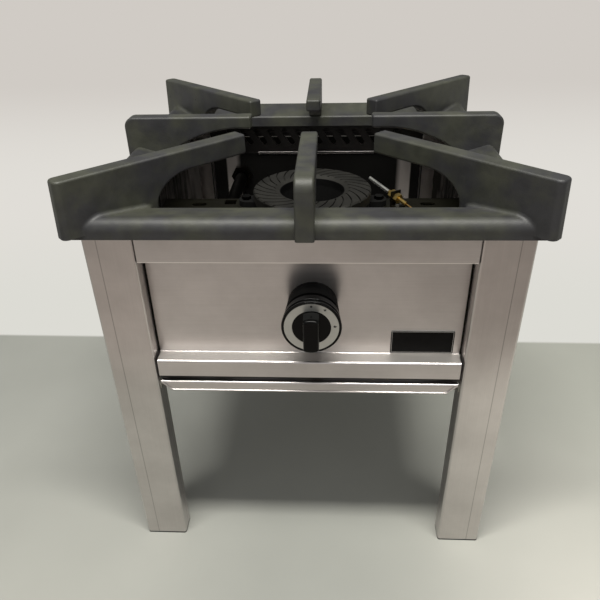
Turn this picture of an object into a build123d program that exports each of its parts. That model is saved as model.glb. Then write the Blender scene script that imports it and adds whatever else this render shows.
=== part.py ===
from build123d import *
import math
import os

# Stock pot range: a low single-burner gas range on four folded sheet legs.
# Millimetres.  +X right, +Y to the back, +Z up; the floor is z = 0 and the
# origin is the middle of the footprint.  The front, with the knob, faces -Y.

# ---- cabinet: four folded legs joined by sheet panels -----------------------
cabinet_width = 400.0       # across the outer faces of the legs
cabinet_depth = 400.0
cabinet_height = 400.0      # floor to the rim that the grate stands on
leg_face = 47.0             # width of each of a leg's two outer faces
leg_return = 21.0           # how far a leg's edges turn back inwards
leg_sheet = 1.5
panel_sheet = 1.2
bend_radius = 1.2           # inside radius of every fold
panel_recess = 17.0         # panels lie this far behind the legs' faces
rail_height = 25.0          # rolled rail along the top of every side
hem_height = 7.0            # edge folded back flat on itself
seam = 0.3                  # assembly gap between neighbouring sheets
glide_height = 2.0          # plastic glide under each leg
glide_plug = 9.0            # its plug, up inside the leg
glide_wall = 3.0
end_flange = 14.0           # panels' ends turned back along the legs
rail_flange = 15.0          # the front rail's flange, behind the control panel

# ---- front control panel ----------------------------------------------------
ledge_drop = 135.2          # rim down to the ledge that the panel's foot turns into
sill_drop = 155.1           # rim down to the lower edge of the sill before the ledge
sill_inset = 2.2            # the sill is this much shorter at each end

# ---- rear panel: slanted vents, a stiffening bead, the gas inlet hole --------
rear_panel_drop = 153.5
vent_count = 13
vent_margin = 80.0          # from the panel's end to the middle of the outer vent
vent_drop = 9.0             # rim down to the vents' tops
vent_height = 22.0
vent_width = 7.0
vent_lean = 35.0            # degrees from upright
bead_drop = 43.5
bead_margin = 116.0         # bead's end to the cabinet's side
bead_radius = 2.0

# ---- side panels ------------------------------------------------------------
side_panel_drop = 171.0
panel_foot = 10.0           # flange at the foot of a panel, turned inwards

# ---- drip tray and its runners ----------------------------------------------
tray_drop = 184.0           # rim down to the tray's floor
tray_wall_height = 22.8
tray_sheet = 1.0
tray_side_gap = 7.0         # from a runner's web to the tray's wall
tray_front = 16.0           # from the lip's face back to the tray's front wall
tray_back_gap = 6.0         # to the rear panel
lip_height = 11.4
lip_end_gap = 1.8           # from a runner's web to the end of the lip
lip_mitre = 10.0            # the lip's ends slope in by this much to its hem
lip_hem = 9.0
runner_shelf = 15.0
runner_sheet = 1.2
runner_height = 21.5
runner_end_gap = 4.0        # short of the legs' outer faces, at each end
runner_notch = 18.0         # its lower part is cut back by this much at each end
runner_notch_rise = 10.0    # height of that part above the tray's floor
runner_screw_rise = 15.0    # above the tray's floor
tray_corner = 6.0

# ---- pot grate: one casting --------------------------------------------------
finger_height = 56.0        # rim to the plane the pot stands on
grate_overhang = 5.0        # the frame stands this far outside the cabinet
grate_bar_width = 43.0      # the frame's outer face to its inner face
grate_side = 13.0           # upright part of the outer face
grate_front_side = 7.5      # the same on the front bar, which is lower
grate_roll = 10.0           # radius from there up to the crest
grate_inner_height = 13.0   # the top slopes down to this at the inner face
finger_thickness = 17.0
finger_edge = 2.4           # rounding of the fingers' edges
side_finger_tip = 67.0      # centre to the inner end of a mid-side finger
side_finger_overhang = 5.0  # its outer end stands this far outside the frame
side_finger_depth = 14.0    # its depth at the inner end
side_finger_corner = 11.0
side_finger_sag = 7.5       # the underside falls this much by its middle
grate_inner_edge = 3.0
corner_finger_tip = 99.0
corner_finger_depth = 20.0
corner_web_inset = 77.8     # the cabinet's corner in to the web's foot
corner_arch = 40.0          # reach of the arch above it
corner_arch_rise = 9.0      # rim to the arch's springing
corner_foot_lift = 4.0      # rim up to the underside of the part outside the frame
corner_foot_inset = 12.0    # cabinet's corner in to where that underside starts, within the frame
corner_finger_reach = 16.5  # cabinet's corner to the outer end, at its foot
corner_finger_lean = 2.5    # the outer end leans in by this much at its top
corner_end_edge = 6.0       # rounding of the outer end's upright edges
corner_root_radius = 4.0    # hollow where a corner finger grows out of the frame

# ---- burner -----------------------------------------------------------------
cap_outer = 69.5
cap_inner = 38.0
cap_drop = 29.0             # rim down to the cap's top
cap_height = 12.0
cap_rim_drop = 3.0          # the top falls to the centre hole by this much
cap_rim_width = 7.0
cap_edge = 1.5
swirl_count = 28            # curved flame grooves
swirl_start = 43.0
swirl_turn = -28.0          # degrees from a groove's inner to its outer end
swirl_width = 2.3           # degrees
swirl_depth = 2.4
spigot_height = 4.0
spigot_wall = 2.0
spigot_gap = 0.3
trough_wall = 3.6
trough_inset = 1.5          # body stands in from the cap's outer edge
trough_depth = 26.0
trough_corner = 6.0
ear_length = 20.0           # cast ears that rest on the burner brackets
ear_width = 22.0
ear_thickness = 7.0
ear_bolt_inset = 9.0        # bolt to the ear's outer end
mixer_drop = 66.0           # brackets' tops down to the mixing tube's axis
mixer_radius = 15.0
mixer_wall = 3.5
mixer_mouth_gap = 12.0      # injector holder's end to the mixing tube's mouth
mixer_mouth_radius = 20.0
mixer_throat_radius = 13.0
mixer_mouth_length = 22.0
mixer_mouth_lip = 4.0

# ---- burner brackets ---------------------------------------------------------
bracket_drop = 50.0         # rim down to the brackets' tops
bracket_width = 36.0
bracket_sheet = 2.0
bracket_flange = 12.0
bracket_plate = 24.0        # height of the plate screwed to the side panel
bracket_tip = 72.0          # centre to the bracket's inner end
bracket_slot_inset = 44.8   # side panel's inner face to the middle of the slot
bracket_slot_length = 18.0
bracket_slot_width = 9.0
bracket_window = 14.0
bracket_window_setback = 28.0   # from the bracket's inner end to the window's middle
bracket_screw_spacing = 22.0

# ---- fasteners ---------------------------------------------------------------
screw_radius = 2.0          # M4
screw_head_radius = 3.6
screw_head_height = 2.4
bolt_radius = 3.0           # M6
bolt_flats = 10.0
bolt_head_height = 4.0
thread_gap = 0.05

# ---- gas tap and knob --------------------------------------------------------
tap_x = 5.5
tap_drop = 77.0             # rim down to the tap's axis
tap_flange_radius = 17.0
tap_flange_thickness = 2.8
bonnet_thickness = 2.0
tap_radius = 12.0
tap_length = 42.0
tap_tail_radius = 9.0
tap_tail_length = 6.0
tap_port_depth = 24.8       # from its front face to where gas enters and leaves
tap_screw_offset = 13.0
tap_boss_drop = 21.0        # tap axis to the outlet boss's end
tap_boss_radius = 7.0
tap_inlet_reach = 24.0
spindle_radius = 4.0
running_gap = 0.05          # radial, round spindle and push rod
push_travel = 4.0
spring_chamber_radius = 7.05
spring_chamber_depth = 17.8
spring_wire = 0.8
spring_coils = 4
collar_radius = 6.8
collar_thickness = 2.0
spindle_depth = 27.8        # how far the spindle reaches into the tap
push_rod_radius = 2.0
push_rod_depth = 49.8
push_gap = 0.2
magnet_radius = 8.0
magnet_length = 22.0
panel_hole_radius = 6.0

bezel_base_radius = 23.6
bezel_front_radius = 25.6
bezel_depth = 23.4
bezel_wall = 3.0
bezel_hole_radius = 12.0
knob_stand = 42.0           # control panel's face to the knob's face
knob_radius = 26.0
knob_depth = 14.0
knob_wall = 3.5
knob_hub_radius = 8.0
knob_hub_reach = 2.0        # the hub stands this far behind the skirt
knob_plate = 4.0
knob_edge = 0.6
spindle_flat = 2.6          # spindle's axis to its flat
grip_width = 14.0
grip_length = 34.0
grip_height = 16.0
grip_edge = 2.0
ring_outer = 25.0
ring_inner = 17.6
ring_thickness = 0.8
ring_proud = 0.2
ring_fit = 0.1

# ---- gas pipework ------------------------------------------------------------
pipe_radius = 8.6           # 3/8 inch pipe
pipe_bore = 6.2
pipe_inset = 90.0           # cabinet's left side to the pipe's axis
pipe_bend = 30.0
union_flats = 24.0
union_length = 16.0
inlet_radius = 10.5         # 1/2 inch male connection
inlet_reach = 41.0          # how far behind the cabinet it stands
inlet_flats = 27.0
inlet_flange = 12.0
inlet_stub = 13.8           # inside the cabinet
locknut_thickness = 7.0
outlet_tube_radius = 4.0
outlet_tube_bore = 3.0
outlet_bend = 12.0
tube_seat = 6.0             # how deep the tube sits in the tap and injector
tube_nut_flats = 14.0
tube_nut_length = 5.0
injector_setback = 19.0     # tap's outlet back to the injector holder's face
injector_radius = 8.0
injector_length = 14.0
nozzle_length = 10.0
nozzle_radius = 4.0
nozzle_tip_radius = 2.0
jet_radius = 0.9
cage_width = 16.0
cage_sheet = 1.5
cage_lap = 10.0             # the cage's arms reach this far along the mixing tube

# ---- thermocouple ------------------------------------------------------------
probe_x = 98.0              # where it passes through its bracket
probe_y = -4.0
probe_lift = 11.0           # above the bracket's top
probe_azimuth = 124.0       # degrees from +X, towards the burner cap's edge
probe_rise = 9.0
probe_tip = 52.0
probe_start = 12.0
probe_radius = 2.2
sleeve_radius = 3.3
sleeve_tail = 20.0
sleeve_tail_radius = 2.6
probe_nut_flats = 10.0
probe_nut_thickness = 5.6
probe_nut_gap = 1.8         # nut to the middle of the tilted tab
tab_width = 14.0
tab_height = 18.0
tab_foot = 10.0
tab_sheet = 1.5
lead_radius = 1.1
lead_first_run = 14.0
lead_bulge = 24.0           # it swings this far out beyond the probe
lead_dip_y = 44.0           # and dips under the bracket this far towards the front
lead_dip = 12.0
lead_return = 8.0
lead_low_y = 68.0
lead_loop = 58.0            # last bend to the tap's axis
lead_loop_y = 26.0
lead_nut_flats = 9.0
lead_nut_length = 8.0

# ---- worked out from the sizes above ------------------------------------------
half_width = cabinet_width / 2
half_depth = cabinet_depth / 2
half_diagonal = math.hypot(half_width, half_depth)
diagonal_angle = math.degrees(math.atan2(half_depth, half_width))
bay_width = cabinet_width - 2 * leg_face - 2 * seam
bay_depth = cabinet_depth - 2 * leg_face - 2 * seam
panel_y = half_depth - panel_recess           # outer face of the front and rear panels
panel_inner_y = panel_y - panel_sheet
side_inner_x = half_width - panel_recess - panel_sheet
leg_inner_x = half_width - leg_face
leg_inner_y = half_depth - leg_face
runner_web_x = leg_inner_x - runner_sheet
ledge_z = cabinet_height - ledge_drop
sill_z = cabinet_height - sill_drop
rear_panel_z = cabinet_height - rear_panel_drop
side_panel_z = cabinet_height - side_panel_drop
vent_top_z = cabinet_height - vent_drop
bead_z = cabinet_height - bead_drop
tray_floor_z = cabinet_height - tray_drop
runner_screw_z = tray_floor_z + runner_screw_rise
pot_height = cabinet_height + finger_height
cap_top_z = cabinet_height - cap_drop
cap_bottom_z = cap_top_z - cap_height
bracket_top_z = cabinet_height - bracket_drop
mixer_z = bracket_top_z - mixer_drop
probe_z = bracket_top_z + probe_lift
bracket_slot_x = side_inner_x - bracket_slot_inset
bracket_window_x = bracket_tip + bracket_window_setback
pipe_x = pipe_inset - half_width
inlet_end_y = half_depth + inlet_reach
knob_front_y = -panel_y - knob_stand
tap_z = cabinet_height - tap_drop
tap_front_y = -panel_inner_y
tap_port_y = tap_front_y + tap_port_depth
spring_chamber_end_y = tap_front_y + spring_chamber_depth
spindle_end_y = tap_front_y + spindle_depth
push_rod_end_y = tap_front_y + push_rod_depth
injector_y = tap_port_y + injector_setback
mixer_mouth_y = injector_y + injector_length + mixer_mouth_gap
mixer_throat_y = mixer_mouth_y + mixer_mouth_length
tap_axis = Plane(origin=(tap_x, 0, tap_z), x_dir=(1, 0, 0), z_dir=(0, 1, 0))
mixer_axis = Plane(origin=(tap_x, 0, mixer_z), x_dir=(1, 0, 0), z_dir=(0, 1, 0))
body_outer = cap_outer - trough_inset
ear_end = body_outer + ear_length
ear_bolt_x = ear_end - ear_bolt_inset


def nearest(shape, x, y):
    """The vertex of a flat outline that lies at x, y."""
    return shape.vertices().sort_by_distance((x, y, 0))[0]


def folded_outline(points, thickness):
    """Cross-section of folded sheet: points follow one face, the sheet lies to their left."""
    steps = [(b[0] - a[0], b[1] - a[1]) for a, b in zip(points, points[1:])]
    normals = [(-dy / math.hypot(dx, dy), dx / math.hypot(dx, dy)) for dx, dy in steps]
    far_side = [(points[0][0] + thickness * normals[0][0], points[0][1] + thickness * normals[0][1])]
    bends = []
    for point, n1, n2 in zip(points[1:], normals, normals[1:]):
        share = thickness / (1 + n1[0] * n2[0] + n1[1] * n2[1])
        corner = (point[0] + share * (n1[0] + n2[0]), point[1] + share * (n1[1] + n2[1]))
        far_side.append(corner)
        turns_left = n1[0] * n2[1] - n1[1] * n2[0] > 0
        bends.append((point, corner) if turns_left else (corner, point))
    far_side.append((points[-1][0] + thickness * normals[-1][0], points[-1][1] + thickness * normals[-1][1]))
    outline = make_face(Polyline(*points, *reversed(far_side), close=True))
    for outside, inside in bends:
        outline = fillet(nearest(outline, *outside), bend_radius + thickness)
        outline = fillet(nearest(outline, *inside), bend_radius)
    return outline


def block(x0, x1, y0, y1, z0, z1):
    """A plain block between two corners."""
    centre = Pos((x0 + x1) / 2, (y0 + y1) / 2, (z0 + z1) / 2)
    return centre * Box(x1 - x0, y1 - y0, z1 - z0)


def turned(points, plane=Plane.XY):
    """Solid of revolution about a plane's normal; points are (radius, height)."""
    profile = Plane.XZ * make_face(Polyline(*points, close=True))
    return plane * revolve(profile, Axis.Z)


def cylinder(plane, radius, start, end):
    """A cylinder along a plane's normal between two heights."""
    return plane * Pos(0, 0, (start + end) / 2) * Cylinder(radius, end - start)


def hex_nut(plane, flats, start, end, hole=0.0):
    """A hexagon along a plane's normal, with a hole through it."""
    corner = flats / 2 / math.cos(math.pi / 6)
    shape = plane * Pos(0, 0, start) * extrude(RegularPolygon(corner, 6), end - start)
    if hole:
        shape = shape - cylinder(plane, hole, start - 1, end + 1)
    return shape


def tube_along(path, outer, inner=0.0):
    """A round tube or rod swept along a path."""
    section = Circle(outer)
    if inner:
        section = section - Circle(inner)
    return sweep((path ^ 0) * section, path=path)


def along_y(x, z):
    """A plane whose normal runs to the back through x, z."""
    return Plane(origin=(x, 0, z), x_dir=(1, 0, 0), z_dir=(0, 1, 0))


def along_x(y, z):
    """A plane whose normal runs to the right through y, z."""
    return Plane(origin=(0, y, z), x_dir=(0, 1, 0), z_dir=(1, 0, 0))


def upright(angle):
    """A plane that holds the vertical axis and the direction at this angle; x is outwards, y is up."""
    turn = math.radians(angle)
    outwards = (math.cos(turn), math.sin(turn), 0)
    return Plane(origin=(0, 0, 0), x_dir=outwards, z_dir=(math.sin(turn), -math.cos(turn), 0))


def turn_about_z(shape, angle):
    return Rot(0, 0, angle) * shape


# ---- cabinet ------------------------------------------------------------------
def runner_screw_axes():
    """Planes along X through the four screws that hold the runners to the legs."""
    y = half_depth - leg_return / 2
    return [along_x(-y, runner_screw_z), along_x(y, runner_screw_z)]


def corner_leg(side, end):
    """Folded leg; side is -1 left or 1 right, end is -1 front or 1 rear."""
    outline = folded_outline([
        (leg_return - half_width, -leg_inner_y),
        (-half_width, -leg_inner_y),
        (-half_width, -half_depth),
        (-leg_inner_x, -half_depth),
        (-leg_inner_x, leg_return - half_depth),
    ], leg_sheet)
    leg = Pos(0, 0, glide_height) * extrude(outline, cabinet_height - glide_height)
    screw = runner_screw_axes()[0]
    leg = leg - cylinder(screw, screw_radius + thread_gap, -leg_inner_x - 2 * leg_sheet, -leg_inner_x + 1)
    if side > 0:
        leg = mirror(leg, about=Plane.YZ)
    if end > 0:
        leg = mirror(leg, about=Plane.XZ)
    return leg


def foot_glides():
    """Plastic shoes: each follows its leg's folded section, with a wall up inside the fold."""
    wall = leg_sheet + seam + glide_wall
    corner = leg_face / 2
    outside = RectangleRounded(leg_face, leg_face, bend_radius + leg_sheet)
    middle = leg_face - 2 * wall
    gap = leg_face - leg_return
    open_corner = Pos(corner - gap / 2, corner - gap / 2) * Rectangle(gap, gap)
    sole = outside - Rectangle(middle, middle) - open_corner
    plug_size = leg_face - 2 * leg_sheet - 2 * seam
    plug = RectangleRounded(plug_size, plug_size, bend_radius) - Rectangle(middle, middle) - open_corner
    shoe = extrude(sole, glide_height) + Pos(0, 0, glide_height) * extrude(plug, glide_plug)
    front_left = Pos(corner - half_width, corner - half_depth) * shoe
    front = [front_left, mirror(front_left, about=Plane.YZ)]
    return front + [mirror(one, about=Plane.XZ) for one in front]


def hem(length, face_y, low_z):
    """The doubled strip along the low edge of a sheet that faces the front."""
    inside = face_y + panel_sheet
    return block(-length / 2, length / 2, inside, inside + panel_sheet, low_z, low_z + hem_height)


def end_flanges(length, face_y, low_z, high_z):
    """Flanges turned back along the legs, at both ends of a panel that faces the front."""
    inside = face_y + panel_sheet
    right = block(length / 2 - panel_sheet, length / 2, inside, inside + end_flange, low_z, high_z)
    return right + mirror(right, about=Plane.YZ)


def rail_panel(length, reach, foot_z):
    """Panel that faces the front: foot flange, face, and the rail rolled out over its top."""
    inside = panel_recess + panel_sheet - reach
    outline = folded_outline([
        (inside + panel_foot, foot_z + panel_sheet),
        (inside, foot_z + panel_sheet),
        (inside, cabinet_height),
        (-reach, cabinet_height),
        (-reach, cabinet_height - rail_height),
    ], panel_sheet)
    sheet = extrude(Plane.YZ * outline, length / 2, both=True)
    flanges = end_flanges(length, panel_recess - reach, foot_z + panel_foot, cabinet_height - rail_height)
    return sheet + hem(length, -reach, cabinet_height - rail_height) + flanges


def side_panel(side):
    """Left (-1) or right (1) side panel, with the holes for its burner bracket."""
    panel = turn_about_z(rail_panel(bay_depth, half_width, side_panel_z), 90)
    for axis in bracket_screw_axes():
        panel = panel - cylinder(axis, screw_radius + thread_gap, side_inner_x - 1, side_inner_x + 5)
    return panel if side > 0 else mirror(panel, about=Plane.YZ)


def rear_panel():
    """Rear panel: slanted vents under the rail, a pressed bead, and the gas inlet's hole."""
    panel = turn_about_z(rail_panel(bay_width, half_depth, rear_panel_z), 180)
    length = vent_height / math.cos(math.radians(vent_lean))
    slot = SlotOverall(length, vent_width, rotation=90 + vent_lean)
    outer_vent_x = half_width - vent_margin
    for i in range(vent_count):
        x = outer_vent_x * (2 * i / (vent_count - 1) - 1)
        cutter = Plane(origin=(x, panel_y + 2, vent_top_z - vent_height / 2), x_dir=(1, 0, 0), z_dir=(0, -1, 0))
        panel = panel - extrude(cutter * slot, 2 + 2 * panel_sheet)
    bead_end = half_width - bead_margin
    bead = cylinder(along_x(panel_inner_y, bead_z), bead_radius, -bead_end, bead_end)
    bead = bead & block(-half_width, half_width, panel_inner_y - bead_radius - 1, panel_inner_y,
                        bead_z - bead_radius - 1, bead_z + bead_radius + 1)
    hole = cylinder(along_y(pipe_x, tap_z), inlet_radius + thread_gap, panel_inner_y - 1, panel_y + 1)
    return panel + bead - hole


def front_rail():
    """Strip over the control panel: hemmed face, flat top, and a flange behind the panel."""
    inside = panel_sheet - panel_inner_y
    outline = folded_outline([
        (inside, cabinet_height - rail_flange),
        (inside, cabinet_height),
        (-half_depth, cabinet_height),
        (-half_depth, cabinet_height - rail_height),
    ], panel_sheet)
    rail = extrude(Plane.YZ * outline, bay_width / 2, both=True)
    return rail + hem(bay_width, -half_depth, cabinet_height - rail_height)


def control_panel():
    """Recessed face, ledge turned forward at its foot, and the hemmed sill below."""
    top = cabinet_height - panel_sheet - bend_radius
    outline = folded_outline([
        (-panel_y, top),
        (-panel_y, ledge_z),
        (-half_depth, ledge_z),
        (-half_depth, sill_z),
    ], panel_sheet)
    panel = extrude(Plane.YZ * outline, bay_width / 2, both=True)
    sill_half = bay_width / 2 - sill_inset
    for side in (-1, 1):
        low, high = sorted((side * sill_half, side * (bay_width / 2 + 1)))
        panel = panel - block(low, high, -half_depth - 1, -panel_y, sill_z - 1, ledge_z + 1)
    panel = panel + hem(2 * sill_half, -half_depth, sill_z)
    panel = panel + end_flanges(bay_width, -panel_y, ledge_z + panel_foot,
                                cabinet_height - rail_flange - 1)
    panel = panel - cylinder(along_y(tap_x, tap_z), panel_hole_radius, -panel_y - 1, 1 - panel_inner_y)
    for x in (tap_x - tap_screw_offset, tap_x + tap_screw_offset):
        panel = panel - cylinder(along_y(x, tap_z), screw_radius + thread_gap,
                                 -panel_y - 1, 1 - panel_inner_y)
    return panel


# ---- drip tray and runners ------------------------------------------------------
def tray_runner(side):
    """Angle strip from the front leg to the rear leg; the tray slides on its shelf."""
    top = tray_floor_z - seam
    length = half_depth - runner_end_gap
    low = top - runner_sheet
    web = block(runner_web_x, leg_inner_x, -length, length, low, low + runner_height)
    shelf = block(leg_inner_x - runner_shelf, leg_inner_x, -length, length, low, top)
    runner = web + shelf
    notch = block(0, half_width, -length - 1, runner_notch - length, low - 1, tray_floor_z + runner_notch_rise)
    runner = runner - notch - mirror(notch, about=Plane.XZ)
    for axis in runner_screw_axes():
        runner = runner - cylinder(axis, screw_radius + thread_gap, runner_web_x - 1, leg_inner_x + 1)
    return runner if side > 0 else mirror(runner, about=Plane.YZ)


def screw(plane, seat, tip):
    """Pan-head screw along a plane's normal: the head lies before seat, the tip at tip."""
    head = cylinder(plane, screw_head_radius, seat - screw_head_height, seat)
    return head + cylinder(plane, screw_radius, seat, tip)


def runner_screws():
    right = [screw(axis, runner_web_x, leg_inner_x + 2 * leg_sheet) for axis in runner_screw_axes()]
    return right + [mirror(one, about=Plane.YZ) for one in right]


def drip_tray():
    """Pan with a lip across its front: flat top, mitred face, and a hem folded back."""
    half = runner_web_x - tray_side_gap
    top = tray_floor_z + tray_wall_height
    front = tray_front - half_depth
    pan = block(-half, half, front, panel_inner_y - tray_back_gap, tray_floor_z, top)
    pan = fillet(pan.edges().filter_by(Axis.Z), tray_corner)
    pan = fillet(pan.edges().group_by(Axis.Z)[0], tray_corner / 2)
    pan = offset(pan, -tray_sheet, openings=pan.faces().sort_by(Axis.Z)[-1])
    lip_half = runner_web_x - lip_end_gap
    low = top - lip_height
    outline = folded_outline([
        (front + tray_sheet, top),
        (-half_depth, top),
        (-half_depth, low),
        (lip_hem - half_depth, low),
    ], tray_sheet)
    lip = extrude(Plane.YZ * outline, lip_half, both=True)
    fold_z = top - bend_radius - tray_sheet
    mitre = Polygon((lip_half, fold_z), (lip_half - lip_mitre, low), (lip_half - lip_mitre, low - 1),
                    (lip_half + 1, low - 1), (lip_half + 1, fold_z), align=None)
    mitre = extrude(Plane.XZ.offset(half_depth - lip_hem - 1) * mitre, lip_hem + 2)
    lip = lip - mitre - mirror(mitre, about=Plane.YZ)
    return pan + lip


# ---- burner ----------------------------------------------------------------------
def bracket_screw_axes():
    """Planes along X through the screws that hold a burner bracket to its side panel."""
    z = bracket_top_z - bracket_plate + screw_head_radius + bracket_sheet
    return [along_x(-bracket_screw_spacing / 2, z), along_x(bracket_screw_spacing / 2, z)]


def burner_bracket(side):
    """Channel from a side panel to the burner's ear, with its end plate, slot and window."""
    y = bracket_width / 2
    low = bracket_top_z - bracket_flange
    channel = block(bracket_tip, side_inner_x, -y, y, low, bracket_top_z)
    channel = channel - block(bracket_tip - 1, side_inner_x - bracket_sheet, bracket_sheet - y,
                              y - bracket_sheet, low - 1, bracket_top_z - bracket_sheet)
    plate = block(side_inner_x - bracket_sheet, side_inner_x, -y, y,
                  bracket_top_z - bracket_plate, bracket_top_z)
    bracket = channel + plate
    slot = extrude(SlotOverall(bracket_slot_length, bracket_slot_width), 3 * bracket_sheet)
    bracket = bracket - Pos(bracket_slot_x, 0, bracket_top_z - 2 * bracket_sheet) * slot
    half = bracket_window / 2
    bracket = bracket - block(bracket_window_x - half, bracket_window_x + half, 0, bracket_window,
                              bracket_top_z - 2 * bracket_sheet, bracket_top_z + 1)
    bolt = Plane(origin=(ear_bolt_x, 0, 0))
    bracket = bracket - cylinder(bolt, bolt_radius + thread_gap, bracket_top_z - 9, bracket_top_z + 1)
    for axis in bracket_screw_axes():
        bracket = bracket - cylinder(axis, screw_radius + thread_gap, side_inner_x - 5, side_inner_x + 1)
    if side < 0:
        return mirror(bracket, about=Plane.YZ)
    return bracket - cylinder(tab_screw_axis(), screw_radius + thread_gap, -9, 1)


def bracket_screws():
    seat = side_inner_x - bracket_sheet
    right = [screw(axis, seat, side_inner_x + 2 * panel_sheet) for axis in bracket_screw_axes()]
    return right + [mirror(one, about=Plane.YZ) for one in right]


def burner_body():
    """One casting: ring trough, two ears, and the mixing tube that feeds it from below."""
    inner = cap_inner
    low = cap_bottom_z - trough_depth
    corner = trough_corner
    ring = turned([
        (inner, low), (body_outer - corner, low), (body_outer, low + corner),
        (body_outer, cap_bottom_z), (inner, cap_bottom_z),
    ])
    wall = trough_wall
    hollow = turned([
        (inner + wall, low + wall), (body_outer - corner, low + wall),
        (body_outer - wall, low + corner), (body_outer - wall, cap_bottom_z + 1),
        (inner + wall, cap_bottom_z + 1),
    ])
    neck_y = (cap_inner + body_outer) / 2
    mouth = mixer_mouth_y
    bore = mixer_radius - mixer_wall
    tube = turned([
        (0, mouth), (mixer_mouth_radius, mouth), (mixer_mouth_radius, mouth + mixer_mouth_lip),
        (mixer_throat_radius, mixer_throat_y), (mixer_radius, -inner),
        (mixer_radius, neck_y), (0, neck_y),
    ], mixer_axis)
    bend = Pos(tap_x, neck_y, mixer_z) * Sphere(mixer_radius)
    neck = Plane(origin=(tap_x, neck_y, 0))
    tube = tube + bend + cylinder(neck, mixer_radius, mixer_z, low + wall)
    passage = turned([
        (0, mouth - 1), (mixer_mouth_radius - mixer_wall, mouth - 1),
        (mixer_mouth_radius - mixer_wall, mouth), (mixer_throat_radius - mixer_wall, mixer_throat_y),
        (bore, -inner), (bore, neck_y), (0, neck_y),
    ], mixer_axis)
    passage = passage + Pos(tap_x, neck_y, mixer_z) * Sphere(bore)
    passage = passage + cylinder(neck, bore, mixer_z, low + 2 * wall)
    ear = block(body_outer - wall, ear_end - ear_width / 2, -ear_width / 2, ear_width / 2,
                bracket_top_z, bracket_top_z + ear_thickness)
    tip = Plane(origin=(ear_end - ear_width / 2, 0, 0))
    ear = ear + cylinder(tip, ear_width / 2, bracket_top_z, bracket_top_z + ear_thickness)
    ear = ear - cylinder(Plane(origin=(ear_bolt_x, 0, 0)), bolt_radius + thread_gap,
                         bracket_top_z - 1, bracket_top_z + ear_thickness + 1)
    return ring + tube + ear + mirror(ear, about=Plane.YZ) - hollow - passage


def burner_bolts():
    """A hexagon bolt and nut through each ear and its bracket."""
    top = bracket_top_z + ear_thickness
    under = bracket_top_z - bracket_sheet
    pieces = []
    for x in (-ear_bolt_x, ear_bolt_x):
        axis = Plane(origin=(x, 0, 0))
        bolt = hex_nut(axis, bolt_flats, top, top + bolt_head_height)
        bolt = bolt + cylinder(axis, bolt_radius, under - 1.5 * bolt_head_height, top)
        nut = hex_nut(axis, bolt_flats, under - bolt_head_height, under, bolt_radius + thread_gap)
        pieces += [bolt, nut]
    return pieces


def burner_cap():
    """Loose cap ring: curved flame grooves in its top and two spigots that centre it."""
    ring = turned([
        (cap_inner, cap_bottom_z), (cap_outer, cap_bottom_z), (cap_outer, cap_top_z - cap_edge),
        (cap_outer - cap_edge, cap_top_z), (cap_inner + cap_rim_width, cap_top_z),
        (cap_inner, cap_top_z - cap_rim_drop),
    ])
    low = cap_bottom_z - spigot_height
    outside = body_outer - trough_wall - spigot_gap
    inside = cap_inner + trough_wall + spigot_gap
    for r0, r1 in ((outside - spigot_wall, outside), (inside, inside + spigot_wall)):
        ring = ring + turned([(r0, low), (r1, low), (r1, cap_bottom_z), (r0, cap_bottom_z)])

    def spot(radius, angle):
        return (radius * math.cos(math.radians(angle)), radius * math.sin(math.radians(angle)))

    reach = cap_outer + 2
    middle = (swirl_start + reach) / 2
    sides = []
    for angle in (0, swirl_width):
        ends = (spot(swirl_start, angle), spot(middle, angle + swirl_turn / 2), spot(reach, angle + swirl_turn))
        sides.append((ends, ThreePointArc(*ends)))
    (near, first), (far, second) = sides
    groove = make_face([first, Line(near[2], far[2]), second, Line(far[0], near[0])])
    groove = Pos(0, 0, cap_top_z - swirl_depth) * extrude(groove, 2 * swirl_depth)
    return ring - [turn_about_z(groove, i * 360 / swirl_count) for i in range(swirl_count)]


# ---- gas train -------------------------------------------------------------------
def tap_screw_axes():
    return [along_y(tap_x - tap_screw_offset, tap_z), along_y(tap_x + tap_screw_offset, tap_z)]


def tap_bonnet():
    """Plate that closes the front of the tap and guides its spindle."""
    plate = cylinder(tap_axis, tap_flange_radius, tap_front_y, tap_front_y + bonnet_thickness)
    plate = plate - cylinder(tap_axis, spindle_radius + running_gap, tap_front_y - 1, tap_front_y + 9)
    for axis in tap_screw_axes():
        plate = plate - cylinder(axis, screw_radius + thread_gap, tap_front_y - 1, tap_front_y + 9)
    return plate


def tap_body():
    """Brass tap: flange, barrel, tail, inlet boss to the left and outlet boss below."""
    front = tap_front_y + bonnet_thickness
    back = tap_front_y + tap_length
    tail = back + tap_tail_length
    body = turned([
        (0, front), (tap_flange_radius, front), (tap_flange_radius, front + tap_flange_thickness),
        (tap_radius, front + tap_flange_thickness), (tap_radius, back), (tap_tail_radius, back),
        (tap_tail_radius, tail), (0, tail),
    ], tap_axis)
    inlet = along_x(tap_port_y, tap_z)
    outlet = Plane(origin=(tap_x, tap_port_y, 0))
    body = body + cylinder(inlet, pipe_radius, tap_x - tap_inlet_reach, tap_x)
    body = body + cylinder(outlet, tap_boss_radius, tap_z - tap_boss_drop, tap_z)
    body = body - cylinder(tap_axis, spring_chamber_radius, front - 1, spring_chamber_end_y)
    body = body - cylinder(tap_axis, spindle_radius + running_gap, front, spindle_end_y + push_travel)
    body = body - cylinder(tap_axis, push_rod_radius + running_gap, front, tail + 1)
    body = body - cylinder(inlet, pipe_bore, tap_x - tap_inlet_reach - 1, tap_x - tap_radius)
    body = body - cylinder(outlet, outlet_tube_radius + thread_gap,
                           tap_z - tap_boss_drop - 1, tap_z - tap_boss_drop + tube_seat)
    for axis in tap_screw_axes():
        body = body - cylinder(axis, screw_radius + thread_gap, front - 1, front + tap_flange_thickness + 1)
    return body


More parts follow.
